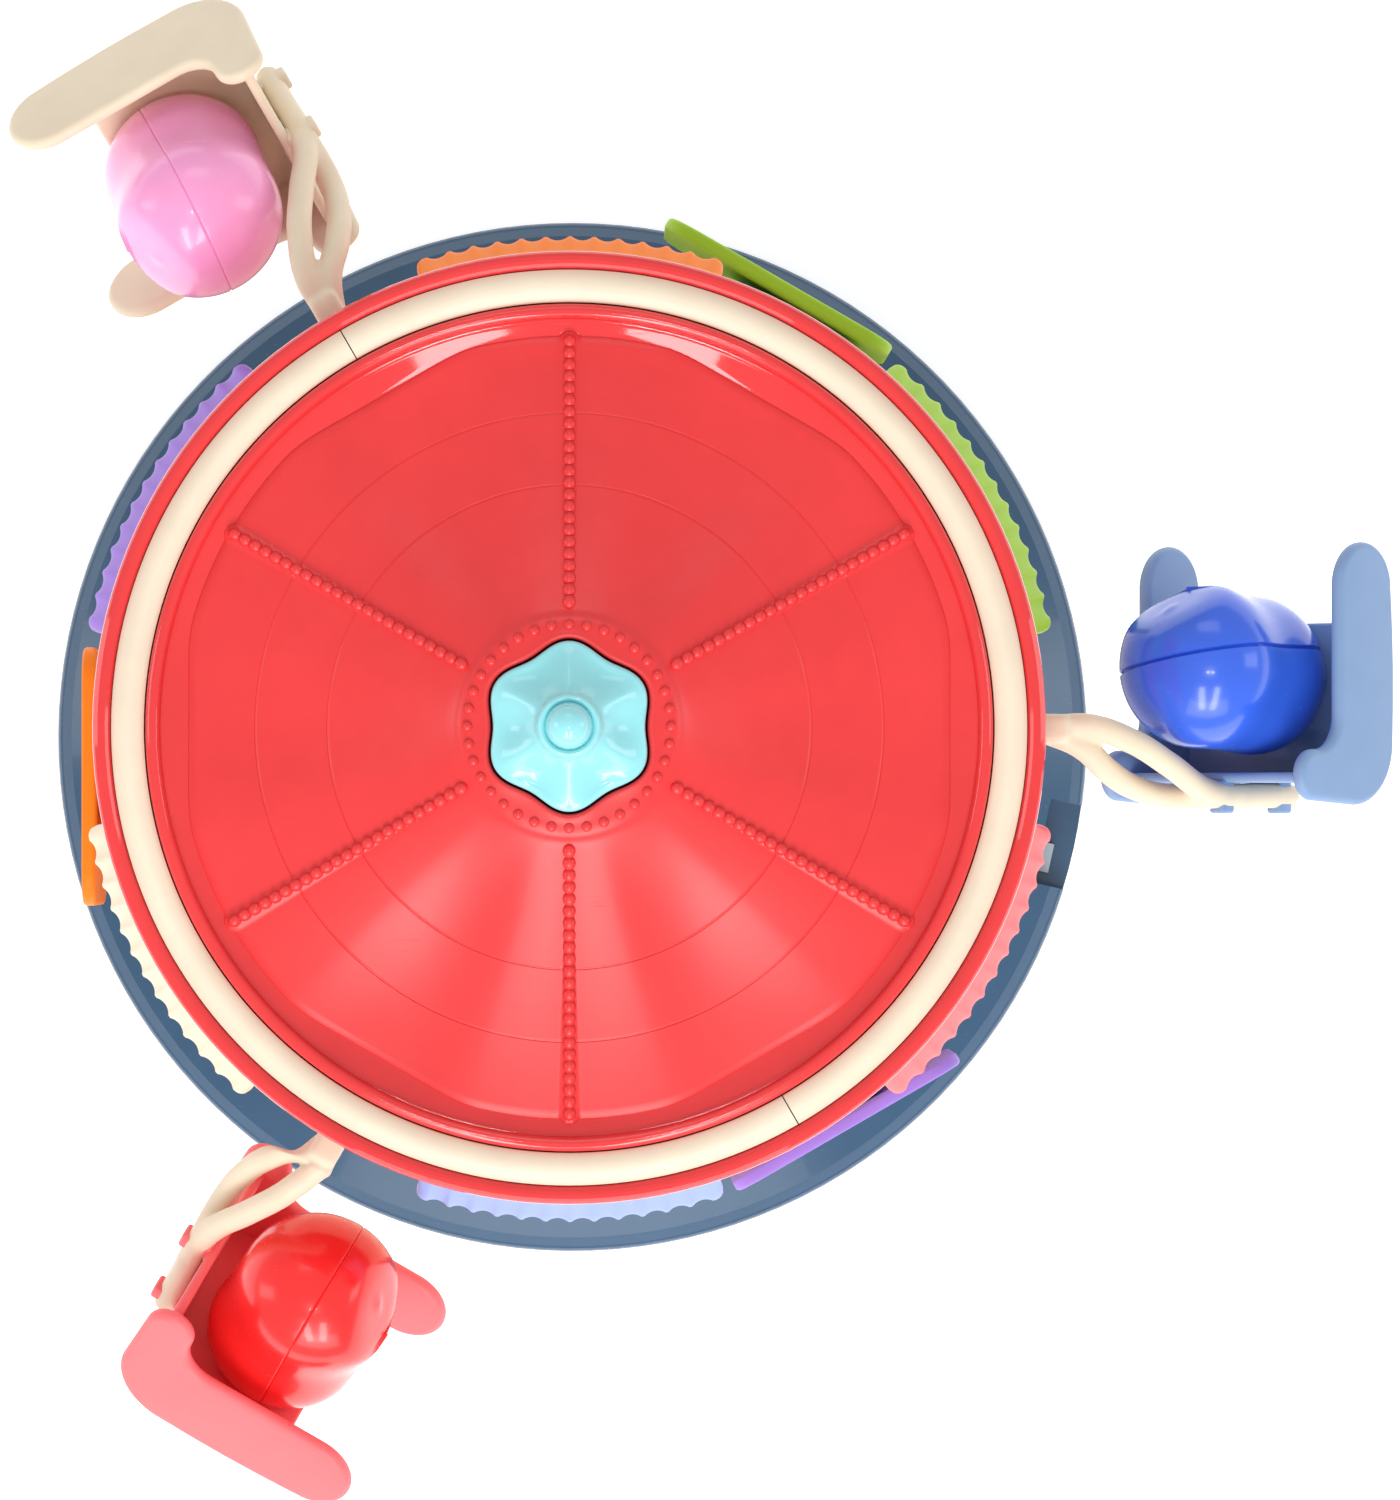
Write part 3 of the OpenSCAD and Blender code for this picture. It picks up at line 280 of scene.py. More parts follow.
# %% Finishes for what is moulded
SATIN = {"gloss": 0.55, "grain": 0.01, "wave": 0.03}
ETCHED = {"gloss": 0.52, "grain": 0.012, "wave": 0.02}
RED = paint(232, 54, 56)
recipes = {
    "navy_plastic": (paint(48, 84, 116), {"gloss": 0.78, "wave": 0.06, "clear": 0.3}),
    "cream_plastic": (paint(232, 216, 190), {**ETCHED, "gloss": 0.5, "glow": 0.08}),
    "cream_gloss": (paint(240, 222, 198), {**ETCHED, "gloss": 0.6, "grain": 0.004, "glow": 0.05}),
    "lime_plastic": (paint(164, 206, 50), {**SATIN, "shine": 0.25}),
    "orange_plastic": (paint(255, 130, 20), {**SATIN, "shine": 0.2}),
    "purple_plastic": (paint(160, 122, 218), {**SATIN, "shine": 0.2}),
    "red_gloss": (RED, {"gloss": 0.95, "wave": 0.008, "clear": 0.3}),
    "red_satin": (RED, {"gloss": 0.69, "grain": 0.008, "wave": 0.02}),
    "coral_plastic": (paint(255, 112, 116), {**ETCHED, "glow": 0.05}),
    "sky_plastic": (paint(146, 166, 224), SATIN),
    "slate_plastic": (paint(128, 158, 200), ETCHED),
    "rider_blue_gloss": (paint(52, 100, 226), {"gloss": 0.8, "wave": 0.05, "clear": 0.3}),
    "rider_pink_gloss": (paint(255, 162, 212), {"gloss": 0.76, "clear": 0.3}),
    "rider_red_gloss": (paint(250, 38, 38), {"gloss": 0.76, "wave": 0.05, "clear": 0.3}),
    "aqua_gloss": (paint(152, 226, 232), {"gloss": 0.86, "wave": 0.01, "clear": 0.3, "glow": 0.05}),
    "grey_plastic": (paint(168, 178, 186), {"gloss": 0.6, "grain": 0.006}),
    "black_plastic": (paint(34, 34, 36), {"gloss": 0.5, "grain": 0.02}),
    "white_acetal": (paint(232, 232, 226), {"gloss": 0.6, "grain": 0.004, "glow": 0.1}),
    "board_green": (paint(22, 92, 48), {"gloss": 0.7, "wave": 0.01}),
    "foot_rubber": (paint(38, 38, 40), {"gloss": 0.2, "grain": 0.04}),
    "cell_jacket": (paint(44, 44, 50), {"gloss": 0.75, "wave": 0.01}),
}
finishes = {name: plastic(name, colour, **look) for name, (colour, look) in recipes.items()}
print(len(finishes), "moulded finishes")


# %% [markdown]
# ## Metal
# The screws, springs and the motor's can are zinc plated. Plating is a metal with a fine drawn
# line in it, so the same noise is stretched along one way for both the gloss and the relief.

# %% Finish for what is plated
def plated(name, colour, along):
    """along says how finely the drawn line repeats on each axis: smallest along the line."""
    f = Finish(name)
    place = f.node("ShaderNodeTexCoord", output=3)
    drawn = f.node("ShaderNodeMapping", values={"Vector": place, "Scale": along})
    line = f.node("ShaderNodeTexNoise", values={"Vector": drawn, "Scale": 1.0, "Detail": 3.0})
    spot = f.node("ShaderNodeTexNoise", values={"Vector": place, "Scale": 260.0, "Detail": 2.0})
    f.set(Base_Color=colour, Metallic=1.0, Roughness=line * 0.2 + spot * 0.14 + 0.16)
    bump = f.node("ShaderNodeBump", values={"Height": line * (0.01 * MM), "Distance": 1.0})
    f.set(Normal=bump)
    return f.material


finishes["zinc_screw"] = plated("zinc_screw", paint(196, 198, 204), (300, 300, 3000))
finishes["motor_can"] = plated("motor_can", paint(188, 190, 192), (2400, 2400, 200))

# %% [markdown]
# ## Every CAD node gets its finish
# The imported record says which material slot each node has, and the finishes above carry the
# slots' names, so one loop dresses the whole frame, the hidden inner pieces too.

# %% Dress the CAD nodes
for part in frame["record"]["subparts"]:
    node = frame["nodes"][part["node"]]
    node.data.materials.clear()
    node.data.materials.append(finishes[part["material_slot"]])
print(len(frame["nodes"]), "CAD nodes dressed")


# %% [markdown]
# ## Modelling helpers
# Each new piece is modelled as by hand: a primitive is added, pulled and spun in edit mode, and
# finished with modifiers that are applied. The same few moves come back all the time, so they are
# named here.

# %% Begin, edit and measure a piece
def begin(name):
    """Names the primitive that was just added."""
    piece = bpy.context.object
    piece.name = piece.data.name = name
    return piece


def clear():
    bpy.ops.object.select_all(action="DESELECT")


def only(piece):
    clear()
    piece.select_set(True)
    bpy.context.view_layer.objects.active = piece


def tidy(piece):
    """Merges doubled points and turns every face outwards."""
    only(piece)
    bpy.ops.object.mode_set(mode="EDIT")
    bpy.ops.mesh.select_all(action="SELECT")
    bpy.ops.mesh.remove_doubles(threshold=0.004 * MM)
    bpy.ops.mesh.normals_make_consistent(inside=False)
    bpy.ops.object.mode_set(mode="OBJECT")


def modify(piece, kind, **settings):
    """Adds a modifier, sets it and applies it."""
    only(piece)
    modifier = piece.modifiers.new(kind, kind)
    for name, value in settings.items():
        setattr(modifier, name, value)
    bpy.ops.object.modifier_apply(modifier=modifier.name)


def round_edges(piece, width, segments=3, angle=40):
    modify(
        piece, "BEVEL", width=width * MM, segments=segments, limit_method="ANGLE",
        angle_limit=math.radians(angle), harden_normals=False,
    )


def open_edges(piece):
    """How many edges don't have exactly two faces: 0 for a closed shell."""
    count = {}
    for face in piece.data.polygons:
        for edge in face.edge_keys:
            count[edge] = count.get(edge, 0) + 1
    return sum(n != 2 for n in count.values())


def hand_over(piece, body, slot, *stands_for, angle=35):
    """Gives a finished piece its shading, its material, its slot and the body that carries it."""
    only(piece)
    bpy.ops.object.transform_apply(location=True, rotation=True, scale=True)
    bpy.ops.object.shade_smooth_by_angle(angle=math.radians(angle))
    piece.data.materials.clear()
    piece.data.materials.append(finishes[slot])
    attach(piece, body)
    if stands_for:
        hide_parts(*stands_for)
    print(f"{piece.name}: {len(piece.data.polygons)} faces, {open_edges(piece)} open edges")
    return piece


# %% [markdown]
# ### Plates and turned pieces
# A plate starts as a circle: its points are pushed onto the outline and the face is extruded. A
# turned piece is an outline that is spun round the axis, as on a lathe.

# %% Build plates and turned pieces
def plate(name, outline, thickness):
    """A flat plate between z = 0 and its thickness, with the given outline in metres."""
    clear()
    bpy.ops.mesh.primitive_circle_add(vertices=len(outline), radius=1, fill_type="NGON")
    piece = begin(name)
    for point, (x, y) in zip(piece.data.vertices, outline):
        point.co = (x, y, 0)
    bpy.ops.object.mode_set(mode="EDIT")
    bpy.ops.mesh.select_all(action="SELECT")
    bpy.ops.mesh.extrude_region_move(TRANSFORM_OT_translate={"value": (0, 0, thickness)})
    bpy.ops.object.mode_set(mode="OBJECT")
    tidy(piece)
    return piece


def turned(name, outline, steps, start=0.0, sweep=360.0):
    """An outline of (radius, height) in metres, spun round the axis. Angles are in degrees."""
    clear()
    whole = sweep >= 360
    bpy.ops.mesh.primitive_circle_add(
        vertices=len(outline), radius=1, fill_type="NOTHING" if whole else "NGON"
    )
    piece = begin(name)
    a = math.radians(start)
    for point, (r, z) in zip(piece.data.vertices, outline):
        point.co = (r * math.cos(a), r * math.sin(a), z)
    bpy.ops.object.mode_set(mode="EDIT")
    bpy.ops.mesh.select_all(action="SELECT")
    bpy.ops.mesh.spin(steps=steps, angle=math.radians(sweep), center=(0, 0, 0), axis=(0, 0, -1))
    bpy.ops.object.mode_set(mode="OBJECT")
    tidy(piece)
    return piece


# %% [markdown]
# ### Arcs, places and copies
# Outlines are drawn as arcs and a few single points. What repeats is modelled once and copied,
# each copy with its own mesh, and the copy's place goes into its points.

# %% Draw arcs, place copies, join pieces
def arc(cx, cy, r, first, last, steps):
    """Points of an arc, in millimetres and degrees."""
    angles = [math.radians(first + (last - first) * i / steps) for i in range(steps + 1)]
    return [(cx + r * math.cos(a), cy + r * math.sin(a)) for a in angles]


def metres(points):
    return [(x * MM, y * MM) for x, y in points]


def turn_z(degrees):
    return Matrix.Rotation(math.radians(degrees), 4, "Z")


def copy_turned(piece, name, matrix):
    """A copy with its own mesh, placed by a matrix."""
    twin = piece.copy()
    twin.data = piece.data.copy()
    twin.name = twin.data.name = name
    bpy.context.scene.collection.objects.link(twin)
    twin.data.transform(matrix)
    return twin


def join(pieces, name):
    """Joins pieces into the first one."""
    clear()
    for piece in pieces:
        piece.select_set(True)
    bpy.context.view_layer.objects.active = pieces[0]
    bpy.ops.object.join()
    pieces[0].name = pieces[0].data.name = name
    return pieces[0]


# %% [markdown]
# ### Rings of points
# The roof, the flower, the riders and the awnings are round things with a pattern in them. Each
# begins as one circle that is extruded again and again into a tube of rings; every point of the
# tube is then sent to its own place. A ring whose points fall together closes an end.

# %% Build a tube of rings and shape it
def rings(name, count, steps, place):
    """place(ring, step) gives each point in millimetres."""
    clear()
    bpy.ops.mesh.primitive_circle_add(vertices=steps, radius=1, fill_type="NOTHING")
    piece = begin(name)
    bpy.ops.object.mode_set(mode="EDIT")
    bpy.ops.mesh.select_all(action="SELECT")
    for _ in range(count - 1):
        bpy.ops.mesh.extrude_region_move(TRANSFORM_OT_translate={"value": (0, 0, 1)})
    bpy.ops.object.mode_set(mode="OBJECT")
    for point in piece.data.vertices:
        step = round(math.atan2(point.co.y, point.co.x) / math.tau * steps) % steps
        point.co = Vector(place(round(point.co.z), step)) * MM
    tidy(piece)
    return piece


def smooth_step(low, high, value):
    t = min(1.0, max(0.0, (value - low) / (high - low)))
    return t * t * (3 - 2 * t)


def polar(r, degrees, z):
    a = math.radians(degrees)
    return (r * math.cos(a), r * math.sin(a), z)


# %% [markdown]
# ## The roof
# The roof is one satin shell: a cone that sags a little between its six ribs and ends in a rounded
# hexagon. Round it a polished band slopes up to a round lip, as the wall of a dish. Round the
# flower it rises into a collar whose opening follows the petals. Two fine circles are engraved in
# it. Its heights are sums of such plain ideas, so they are written as functions.

# %% The roof's heights and outlines, in millimetres
CORNER, FLAT, COLLAR = LIP - 6.0, LIP - 8.3, 24.3
FOOT_Z = COLLAR_Z - 2.0
BAND_R, BAND_Z, BAND_SLOPE = LIP - 2.6, LEDGE + 4.6, math.tan(math.radians(22.5))
CIRCLES, CUT, CUT_HALF = (51.5, 67.0), 0.3, 0.28
BLEND, NOSE_HALF, SAG, WALL = 1.2, 1.7, 1.25, 2.0
WAVE = 1.0
PETAL = FLOWER - WAVE


def petal(angle, grow=0.0):
    """The outline of the flower, grown outwards by some millimetres."""
    return PETAL + grow + WAVE * math.cos(math.radians(6 * (angle - 30)))


def roof_edge(angle):
    """Six flat sides, corners on a circle, and a small nose at the end of each rib."""
    off = (angle + 30) % 60 - 30
    side = FLAT / math.cos(math.radians(off))
    h = max(0.0, BLEND - abs(side - CORNER)) / BLEND
    from_rib = math.radians(30 - abs(off)) * CORNER
    nose = math.exp(-((from_rib / NOSE_HALF) ** 4))
    return min(side, CORNER) - h * h * BLEND / 4 + nose


def band_height(r):
    """The polished band, whose slope throws the front boxes back at the lens."""
    return BAND_Z - (BAND_R - r) * BAND_SLOPE


def roof_height(r, angle):
    """The top of the cone: a sagging slope from the collar's foot down to the band."""
    edge = roof_edge(angle)
    start = band_height(edge) + 0.4
    t = (edge - r) / (edge - COLLAR)
    cone = start + (FOOT_Z - start) * (0.62 * t + 0.38 * t * t)
    between = math.sin(math.radians(3 * (angle - 30))) ** 2
    sag = SAG * between * math.sin(math.pi * min(1.0, max(0.0, t))) ** 0.8
    cut = sum(CUT * max(0.0, 1 - abs(r - c) / CUT_HALF) for c in CIRCLES)
    return cone - sag - cut


# %% [markdown]
# ### The roof's shell, ring by ring
# Each station is one ring of the shell: what kind of curve it follows, a radius or an offset, and
# a height. They run from the recess under the flower outwards over the lip and back underneath,
# close together wherever the plastic turns a corner.

# %% Stations of the roof's shell
fine_steps = (-0.45, -0.28, -0.1, 0.1, 0.28, 0.45)
cone_radii = [25.2, 26.5, 29, 32, 35.5, 39, 43, 47, 50]
cone_radii += [CIRCLES[0] + d for d in fine_steps] + [54, 57, 60, 63.5]
cone_radii += [CIRCLES[1] + d for d in fine_steps] + [70, 73, 76, 79, 81.5, 83]
stations = [("round", 5.0, COLLAR_Z - 7.9)]
for d, z in (
    (-0.4, -7.9), (0.45, -7.2), (0.45, -1.6), (0.5, -0.6),
    (0.75, 0.05), (1.15, 0.3), (1.6, 0.25), (2.1, 0.0),
):
    stations.append(("petal", d, COLLAR_Z + z))
for r, z in ((20.9, -0.25), (21.6, -0.4), (22.4, -0.6), (23.2, -0.95), (23.8, -1.4), (24.2, -1.85)):
    stations.append(("round", r, COLLAR_Z + z))
stations += [("cone", r, 0.0) for r in cone_radii]
for d, z in ((-0.5, -0.04), (-0.25, -0.1), (-0.08, -0.22), (0.0, -0.36)):
    stations.append(("edge", d, z))
stations += [("foot", d, z) for d, z in ((0.04, 0.03), (0.2, 0.0), (1.2, 0.0))]
stations += [("band", BAND_R + d, z) for d, z in ((-1.0, 0.0), (0.0, 0.0), (0.35, -0.25))]
stations += [("round", r, z) for r, z in arc(LIP - 0.8, LEDGE + 5.5, 1.55, 190, 0, 14)]
for d, z in ((0.75, 4), (0, 3), (0, 0.3), (-0.3, 0), (-5, 0)):
    stations.append(("round", LIP + d, LEDGE + z))
stations += [("under", r, 0.0) for r in (82, 75, 65, 55, 45, 35, 26)]
for r, z in ((24.0, -9.5), (5.0, -9.5), (5.0, -7.9)):
    stations.append(("round", r, COLLAR_Z + z))
STEPS, OPEN_CONE = 480, 70.0


def roof_point(ring, step):
    """Where a point of the shell goes; the cone's outer rings draw in to the rounded hexagon."""
    kind, r, z = stations[ring]
    angle = 360 * step / STEPS
    # points crowd together at the ribs, where the edge turns round their ends
    angle -= math.degrees(0.6 * math.sin(math.radians(6 * (angle - 30))) / 6)
    edge = roof_edge(angle)
    if kind == "petal":
        r = petal(angle, r)
    elif kind == "cone":
        if r > OPEN_CONE:
            r = OPEN_CONE + (r - OPEN_CONE) * (edge - OPEN_CONE) / (CORNER - OPEN_CONE)
        z = roof_height(r, angle)
    elif kind == "edge":
        z += roof_height(edge, angle)
        r += edge
    elif kind == "foot":
        r += edge
        z += band_height(r)
    elif kind == "band":
        z += band_height(r)
    elif kind == "under":
        z = roof_height(r, angle) - WALL
    return polar(r, angle, z)


roof = rings("roof", len(stations), STEPS, roof_point)
print("roof shell:", len(roof.data.polygons), "faces,", open_edges(roof), "open edges")


# %% [markdown]
# ### Beads
# A string of short beads lies on each rib and a circle of round ones on the collar. Only the
# upper half of a bead shows, so the sphere is cut just under its middle.

# %% Beads on the ribs and the collar
def bead(length, width, height):
    """A sphere cut just under its middle, with its half sizes in millimetres."""
    clear()
    bpy.ops.mesh.primitive_uv_sphere_add(segments=12, ring_count=8, radius=1)
    piece = begin("bead")
    bpy.ops.object.mode_set(mode="EDIT")
    bpy.ops.mesh.select_all(action="SELECT")
    bpy.ops.mesh.bisect(plane_co=(0, 0, -0.4), plane_no=(0, 0, 1), use_fill=True, clear_inner=True)
    bpy.ops.mesh.select_all(action="SELECT")
    size = (length * MM, width * MM, height * MM)
    bpy.ops.transform.resize(value=size, center_override=(0, 0, 0))
    bpy.ops.object.mode_set(mode="OBJECT")
    return piece


strung, single = bead(1.62, 1.42, 1.3), bead(1.15, 1.15, 0.85)
beads = []
for rib in range(30, 390, 60):
    for k in range(23):
        r = 26.4 + 2.55 * k
        slope = math.atan2(roof_height(r - 1, rib) - roof_height(r + 1, rib), 2)
        tilt = Matrix.Rotation(slope, 4, "Y")
        place = Matrix.Translation((r * MM, 0, (roof_height(r, rib) + 0.05) * MM))
        beads.append(copy_turned(strung, f"rib_bead_{rib}_{k}", turn_z(rib) @ place @ tilt))
for k in range(36):
    place = Matrix.Translation((21.5 * MM, 0, (COLLAR_Z - 0.35) * MM))
    beads.append(copy_turned(single, f"collar_bead_{k}", turn_z(10 * k) @ place))
for piece in (strung, single):
    bpy.data.objects.remove(piece)
print(len(beads), "beads")

# %% [markdown]
# ### Two finishes on one roof
# The mould is etched inside the hexagon and polished outside it, so the roof is one piece with
# two materials: the faces beyond the hexagon's edge take the gloss.

# %% Join the roof and polish its rim
roof = join([roof, *beads], "roof")
hand_over(roof, "canopy", "red_satin", "canopy_roof", angle=50)
roof.data.materials.append(finishes["red_gloss"])
for face in roof.data.polygons:
    angle = math.degrees(math.atan2(face.center.y, face.center.x))
    if math.hypot(face.center.x, face.center.y) / MM > roof_edge(angle) + 0.02:
        face.material_index = 1

# %% [markdown]
# ## The flower button
# Six petals rise to a ring with a dome in it. Each petal has a crease along its middle, which
# catches the light as a thin line.

# %% The flower
PETAL_TOP, RING_FOOT, FLOWER_STEPS = -1.1, 7.1, 240
flower_stations = [("round", 4.0, -3.9), ("petal", -0.5, -3.9), ("petal", 0.0, -3.4)]
for d, z in ((0.0, 0.0), (-0.08, 0.45), (-0.3, 0.8), (-0.7, 1.05), (PETAL_TOP, 1.15)):
    flower_stations.append(("petal", d, z))
flower_stations += [("slope", i / 16, 0) for i in range(1, 17)]
for r, z in (
    (6.95, 7.5), (6.8, 8.5), (6.55, 9.2), (6.2, 9.6),
    (5.8, 9.65), (5.5, 9.4), (5.25, 9.0), (5.1, 8.7),
):
    flower_stations.append(("round", r, z))
flower_stations += [("round", r, z) for r, z in arc(0, 8.6, 4.95, 6, 90, 10)]


def flower_point(ring, step):
    kind, r, z = flower_stations[ring]
    angle = 360 * step / FLOWER_STEPS
    z += COLLAR_Z
    if kind == "petal":
        r = petal(angle, r)
    elif kind == "slope":
        t = r
        outer = petal(angle, PETAL_TOP)
        crease = 1 - abs(math.sin(math.radians(3 * (angle - 30)))) ** 1.35
        r = outer + (RING_FOOT - outer) * t
        z += 1.15 + 5.6 * t**1.6 + (crease - 0.35) * 1.5 * math.sin(math.pi * t**0.9)
    return polar(r, angle, z)


flower = rings("flower", len(flower_stations), FLOWER_STEPS, flower_point)
only(flower)
bpy.ops.object.mode_set(mode="EDIT")
bpy.ops.mesh.select_all(action="DESELECT")
bpy.ops.mesh.select_non_manifold()  # the open edge underneath
bpy.ops.mesh.edge_face_add()
bpy.ops.object.mode_set(mode="OBJECT")
tidy(flower)
hand_over(flower, "button", "aqua_gloss", "flower_button", angle=50)

# %% [markdown]
# ## The trim ring
# Two cream half rings with a crowned top lie in the groove between rim and lip. Their outline is
# spun through almost half a turn, which leaves the hairline joints of the real ring.

# %% The halves of the trim ring
INNER, OUTER = LIP + 1.05, RING_OUT + 0.2
crown = [(OUTER, LEDGE + 0.3), (OUTER, LEDGE + 4.9)]
for i in range(15):
    share = i / 14
    rise = 2.05 * math.sin(math.pi * (0.04 + 0.92 * share)) ** 0.75
    crown.append((OUTER - (OUTER - INNER) * share, LEDGE + 5.15 + rise))
crown += [(INNER, LEDGE + 4.9), (INNER, LEDGE + 0.3)]
for name, start in (("trim_ring_left", 120.08), ("trim_ring_right", -59.92)):
    half = turned(f"{name}_crowned", metres(crown), 120, start, 179.84)
    hand_over(half, "canopy", "cream_gloss", name, angle=40)

# %% [markdown]
# ## The awnings
# Six sloping awnings hang under the rim. Their outer edge has thirteen small points with hollows
# between them, and rounded ends.

# %% Awnings
AWNING, SCOOPS, TIP = 37.0, 12, RIM + 4.9
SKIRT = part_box("awning_orange")[1].z / MM
SCOOP_R, SCOOP_OUT, CORNER_R = 3.6, 2.75, 2.4
awning_outline = [
    (RIM - 1.4, SKIRT), (RIM - 0.9, SKIRT - 0.3), (RIM + 1.2, SKIRT - 4.4),
    (TIP - 0.9, SKIRT - 8.8), (TIP - 0.2, SKIRT - 10.4), (TIP, SKIRT - 11.2),
    (TIP, SKIRT - 12.4), (TIP - 0.3, SKIRT - 13.0), (TIP - 0.9, SKIRT - 13.2),
    (TIP - 1.6, SKIRT - 12.8), (RIM - 2.2, SKIRT - 4.0), (RIM - 4.4, SKIRT - 3.6),
    (RIM - 3.6, SKIRT),
]


def scoop(angle):
    """How far the edge is hollowed at an angle from the awning's first end."""
    pitch = AWNING / (SCOOPS + 1)
    off = abs((angle / pitch + 0.5) % 1 - 0.5) * pitch * math.radians(1) * TIP
    hollow = 0.0
    if pitch / 2 < angle < AWNING - pitch / 2:
        hollow = max(0.0, math.sqrt(max(0.0, SCOOP_R**2 - off * off)) - SCOOP_OUT)
    end = min(angle, AWNING - angle) * math.radians(1) * TIP
    corner = CORNER_R - math.sqrt(max(0.0, CORNER_R**2 - max(0.0, CORNER_R - end) ** 2))
    return hollow + corner


first = turned("awning", metres(awning_outline), 182, -AWNING / 2, AWNING)
for point in first.data.vertices:
    r = math.hypot(point.co.x, point.co.y) / MM
    angle = math.degrees(math.atan2(point.co.y, point.co.x)) + AWNING / 2
    share = smooth_step(RIM + 0.5, TIP - 1.2, r)
    shrink = (r - scoop(angle) * share) / r
    point.co.x, point.co.y = point.co.x * shrink, point.co.y * shrink
slots = {part["node"]: part["material_slot"] for part in frame["record"]["subparts"]}
for k, name in enumerate(("orange", "green", "coral", "blue", "cream", "purple")):
    node = f"awning_{name}"
    awning = copy_turned(first, f"{node}_scalloped", turn_z(90 - 60 * k))
    hand_over(awning, "canopy", slots[node], node, angle=40)
bpy.data.objects.remove(first)

# %% [markdown]
# ## The swings
# The three chairs are one moulding in three colours: two J-shaped sides, a thin back and a floor,
# with two clips behind. They hang tilted outwards from their arms. One chair is modelled
# upright and copied to its places.

# %% Where the chairs hang, and one chair
CHAIR_OUT, CHAIR_Z, BANK = RIM + 57.9, TRAY_Z - 34.3, 40.0
SWINGS = {"blue": 0, "pink": 120, "red": 240}
CHAIRS = {"blue": "blue", "pink": "cream", "red": "coral"}
SHORTER = {"blue": 0.0, "pink": 0.0, "red": 5.0}


def hang(angle, inward=0.0):
    """The matrix that takes an upright chair to its place on the arm at an angle."""
    place = Matrix.Translation(((CHAIR_OUT - inward) * MM, 0, CHAIR_Z * MM))
    return turn_z(angle) @ place @ Matrix.Rotation(math.radians(-BANK), 4, "Y")


def block(name, low, high, rounding):
    """A box with rounded edges between two corners, in millimetres."""
    clear()
    bpy.ops.mesh.primitive_cube_add(size=1)
    piece = begin(name)
    middle = (Vector(low) + Vector(high)) / 2
    size = Vector(high) - Vector(low)
    for point in piece.data.vertices:
        point.co = (middle + point.co * size) * MM
    round_edges(piece, rounding, 3)
    return piece


side = arc(31.2, 10.6, 9.9, -78, 84, 18) + arc(3.2, 28.0, 7.5, 272, 180, 12)
side += arc(-9.9, 29.3, 5.6, 0, 172, 16) + arc(-2.6, 13.8, 13.8, 180, 264, 16)
side += [(6.0, -0.2), (14.0, -0.2), (22.0, 0.1), (28.0, 0.5)]
panel = plate("panel", metres(side), 3.4 * MM)
round_edges(panel, 1.6, 6)
stand = Matrix(((0, 0, 1), (1, 0, 0), (0, 1, 0))).to_4x4()
body = [
    copy_turned(panel, "panel_in", Matrix.Translation((-27.75 * MM, 0, 0)) @ stand),
    copy_turned(panel, "panel_out", Matrix.Translation((24.35 * MM, 0, 0)) @ stand),
    block("back", (-24.8, -11.5, 3.0), (24.8, -9.3, 28.0), 0.9),
    block("floor", (-24.8, -11.5, 3.0), (24.8, 23.7, 5.4), 0.7),
]
for z in (5.0, 26.5):
    body.append(block("clip", (-2.0, -18.2, z - 2.2), (2.0, -10.9, z + 2.2), 0.7))
bpy.data.objects.remove(panel)
chair = join(body, "chair")
for name, angle in SWINGS.items():
    node = f"chair_{CHAIRS[name]}"
    seated = copy_turned(chair, f"{node}_moulded", hang(angle, SHORTER[name]))
    hand_over(seated, "canopy", slots[node], node, angle=40)
bpy.data.objects.remove(chair)

# %% [markdown]
# ## The arms
# Each arm leaves the canopy as a square stem, splits into two strands with an eye between them
# and ends as one bar behind the chair. The strands are drawn as curves with a round section,
# fused into one skin with the stem, and the skin is smoothed so that no seam is left. The arm of
# the coral chair is bent a little tighter, so its points beyond the stem are drawn inwards.

# %% A strand
def strand(name, points, radii, thickness):
    """A round bar along given points, in millimetres."""
    clear()
    bpy.ops.curve.primitive_bezier_curve_add()
    line = begin(name)
    line.data.dimensions = "3D"
    line.data.bevel_depth = thickness * MM
    line.data.bevel_resolution = 4
    line.data.use_fill_caps = True
    spline = line.data.splines[0]
    spline.bezier_points.add(len(points) - len(spline.bezier_points))
    for knot, place, radius in zip(spline.bezier_points, points, radii):
        knot.co = Vector(place) * MM
        knot.radius = radius
        knot.handle_left_type = knot.handle_right_type = "AUTO"
    bpy.ops.object.convert(target="MESH")
    return bpy.context.object


def on_chair(x, y, z):
    """A point of the hanging chair's own frame, as seen from the canopy."""
    b = math.radians(BANK)
    return (
        CHAIR_OUT + x * math.cos(b) - z * math.sin(b), y,
        CHAIR_Z + x * math.sin(b) + z * math.cos(b),
    )


# %% [markdown]
# ### The arm's two strands
# Both strands start in the stem and end on the bar behind the chair, so their last points are
# given in the chair's frame and follow it when it hangs elsewhere.

